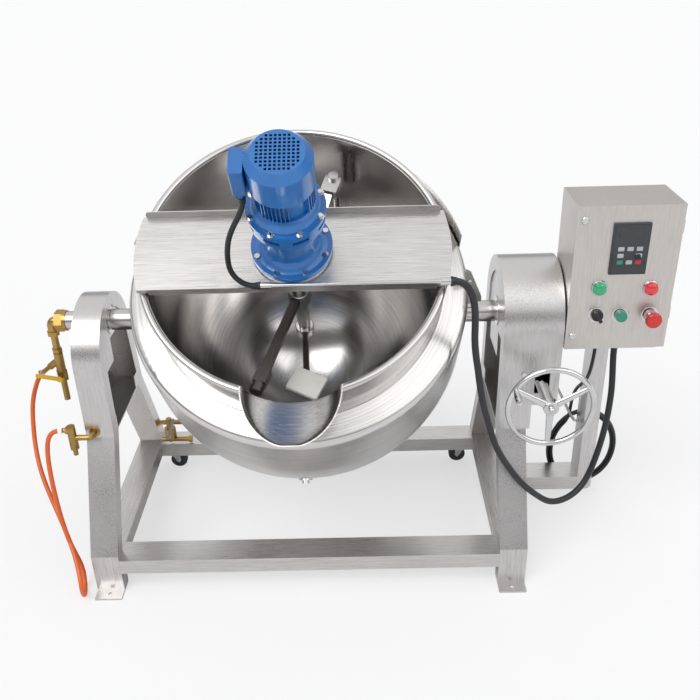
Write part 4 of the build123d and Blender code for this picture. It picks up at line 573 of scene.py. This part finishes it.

# %% [markdown]
# ## Supply hose
# It leaves the bridge, which tips with the kettle, and ends in the control box, which stands
# still. Here it is a plain mesh tube in room coordinates, attached to neither body.

# %% Supply hose, from the bridge to the control box
tube = bpy.data.objects.new("supply_maker", smooth_line("supply_maker", SUPPLY_POINTS, 0.0084))
scene.collection.objects.link(tube)
bpy.context.view_layer.update()
hose_mesh = bpy.data.meshes.new_from_object(
    tube.evaluated_get(bpy.context.evaluated_depsgraph_get()))
bpy.data.objects.remove(tube)
hose_mesh.name = "motor_supply"
hose_mesh.materials.clear()
hose_mesh.materials.append(MATERIALS["hose"])
hose_mesh.shade_smooth()
motor_supply = bpy.data.objects.new("motor_supply", hose_mesh)
scene.collection.objects.link(motor_supply)
supply_path, supply_length = centre_line("motor_supply", SUPPLY_POINTS)
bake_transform(motor_supply)
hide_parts("supply_hose")
supply_reliefs = [
    relief("bridge_sleeve", SUPPLY_POINTS[0], SUPPLY_POINTS[1], 8.4, 15, "kettle"),
    relief("box_sleeve", SUPPLY_POINTS[-1], SUPPLY_POINTS[-2], 8.4, 30, "frame"),
]

# %% [markdown]
# ## Control cable and its coil
# Spare cable hangs in loops on a rod behind the post. A ring of tubes would be closed and too
# regular, so the loops are more points of the cable's own line: nearly three turns that lie side by
# side and slowly change place.

# %% Control cable
COIL_MIDDLE = Vector((0.8351, 0.4486, 0.1512))
COIL_WIDE, COIL_TALL, COIL_SPREAD = 0.0994, 0.1288, 0.0064


def coil_points():
    """Three turns round the hook rod, starting at the upper left and running down."""
    points = []
    start, total = 122, 1046
    steps = 44
    for k in range(steps + 1):
        around = math.radians(start + total * k / steps)
        lie = math.radians(200 + 120 * (total * k / steps) / 360)
        out = COIL_SPREAD * math.cos(lie) + 0.0015
        points.append((COIL_MIDDLE.x + (COIL_WIDE + out) * math.cos(around),
                       COIL_MIDDLE.y + COIL_SPREAD * math.sin(lie),
                       COIL_MIDDLE.z + (COIL_TALL + out) * math.sin(around)))
    return points


coiled = CABLE_POINTS[:-1] + coil_points()
control_lead, control_length = flexible("control_lead", coiled, 0.0098, "cable",
                                        "frame")
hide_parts("control_cable", "cable_coil")
control_sleeve = relief("control_sleeve", CABLE_POINTS[0], CABLE_POINTS[1], 4.9, 26, "frame",
                        "cable_black", "cable")

# %% Orange hose, from the steam branch's barb down to the floor and up to the inlet stub
drain_hose, drain_length = flexible("drain_hose", ORANGE_POINTS, 0.0126, "orange",
                                    "frame")
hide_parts("orange_hose")


def clamp(name, end, inner, radius, body):
    """Worm drive clip round the hose, with its band and screw housing."""
    a, b = Vector(end), Vector(inner)
    place = turned(b - a, a + (b - a).normalized() * 0.008)
    r = radius
    band = lathe(name, [(r - 0.3, -4), (r + 0.9, -4), (r + 0.9, 4), (r - 0.3, 4)], place, body,
                 "polished")
    housing = plate(name + "_screw", 9, 13, 5, 1.2,
                    place @ Matrix.Rotation(math.radians(35), 4, "Z")
                    @ Matrix.Translation(((r + 0.6) * MM, 0, 0)) @ Matrix.Rotation(math.pi / 2, 4, "Y"),
                    body, "polished")
    return band, housing


clamps = [*clamp("trap_clip", ORANGE_POINTS[0], ORANGE_POINTS[1], 6.3, "frame"),
          *clamp("inlet_clip", ORANGE_POINTS[-1], ORANGE_POINTS[-2], 6.3, "frame")]

# %% [markdown]
# ## Screws
# Rings of hexagon screws hold the flanges of the drive. They repeat on circles, which is what the
# Geometry Nodes ring is for. A screw that stands alone is turned in six steps, which makes its
# hexagon.

# %% Screws on the drive and the gear case
screw_ring("reducer_base_screws", 8, 84.5, 14, kettle_place(339 + 11.8, math.radians(22.5)),
           "kettle")
screw_ring("motor_flange_screws", 8, 80, 12, kettle_place(504.8, math.radians(22.5)), "kettle")
lathe("worm_shaft_cap", [(0, 0), (7.5, 0), (7.5, 5), (6, 7), (3, 9), (0, 9.6)],
      turned((0, -1, 0), (0.6165, 0.0228, 0.556)), "worm", "polished")
lathe("gear_case_screw", [(0, 0), (7, 0), (7, 4.6), (6.2, 5.4), (0, 5.4)],
      turned((0, -1, 0), (0.572, 0.1584, 0.58)), "frame", "polished", 6)

# %% [markdown]
# ## Control box
# The keypad has a black glass display above rows of silver keys, a green one to start and a red
# one to stop. Metal tag rings with no marking sit round the switches. They are separate pieces
# seated on the door's solid, because they are separate on the real door and swing with it.

# %% Keypad, tag rings and door fasteners
def on_door(x, z, proud=0.0):
    """Place on the door's front, its Z axis pointing at the user."""
    return Matrix.Translation((x * MM, (161.7 - proud) * MM, z * MM)) @ Matrix.Rotation(
        math.pi / 2, 4, "X")


PANEL = 5.2  # how far the keypad's panel stands out of the door
KEYPAD_X = 799.4
plate("keypad_field", 80, 121, 0.9, 0.35, on_door(KEYPAD_X, 917.7, PANEL), "door", "keypad")
plate("keypad_display", 58, 24, 1.5, 0.5, on_door(KEYPAD_X, 957, PANEL), "door", "display")
for row in range(3):
    for column in range(3):
        x, z = KEYPAD_X + (column - 1) * 22, 919 - row * 17
        if (row, column) == (1, 1):
            continue
        finish = {(2, 0): "green", (2, 2): "red"}.get((row, column), "silver")
        plate(f"key_{row}_{column}", 15, 10.5, 2.4, 0.9, on_door(x, z, PANEL), "door", finish)
SWITCHES = (("selector", (740.6, 744.8)), ("start", (798.7, 743.4)), ("stop", (872.2, 740.6)))
for name, spot in SWITCHES:
    lathe(f"{name}_ring", [(15.4, 0), (22, 0), (22, 0.8), (21.4, 1.2), (15.8, 1.2), (15.4, 0.8)],
          on_door(*spot), "door", "polished", 64)
for name, spot in (("left", (738.5, 816.9)), ("right", (864.5, 813.4))):
    lathe(f"{name}_lamp_bezel", [(16, 0), (20.4, 0), (20.4, 2.5), (19, 4.4), (16, 4.4)],
          on_door(*spot), "door", "polished", 64)
for name, z in (("top", 990), ("bottom", 686)):
    lathe(f"door_lock_{name}", [(0, 0), (9, 0), (9, 2.4), (7.6, 3.6), (2.6, 3.6), (2.2, 2.2), (0, 2.2)],
          on_door(686, z), "door", "polished", 40)

# %% [markdown]
# ## Floor
# A pale, matt floor catches the shadow.

# %% Floor
bm = bmesh.new()
bmesh.ops.create_grid(bm, x_segments=1, y_segments=1, size=30)
ground = bpy.data.meshes.new("floor")
bm.to_mesh(ground)
bm.free()
floor = bpy.data.objects.new("floor", ground)
scene.collection.objects.link(floor)
material, tree = new_material("pale_studio_floor")
matt = add(tree, "ShaderNodeBsdfPrincipled", Base_Color=rgba("#f4f4f4"), Roughness=0.9)
white = add(tree, "ShaderNodeEmission", Color=(1, 1, 1, 1), Strength=1)
view = add(tree, "ShaderNodeLightPath").outputs["Is Camera Ray"]
part = add(tree, "ShaderNodeMath", {"operation": "MULTIPLY"}, i0=view, i1=0.55).outputs[0]
close(tree, add(tree, "ShaderNodeMixShader", i0=part, i1=matt.outputs[0], i2=white.outputs[0]))
ground.materials.append(material)
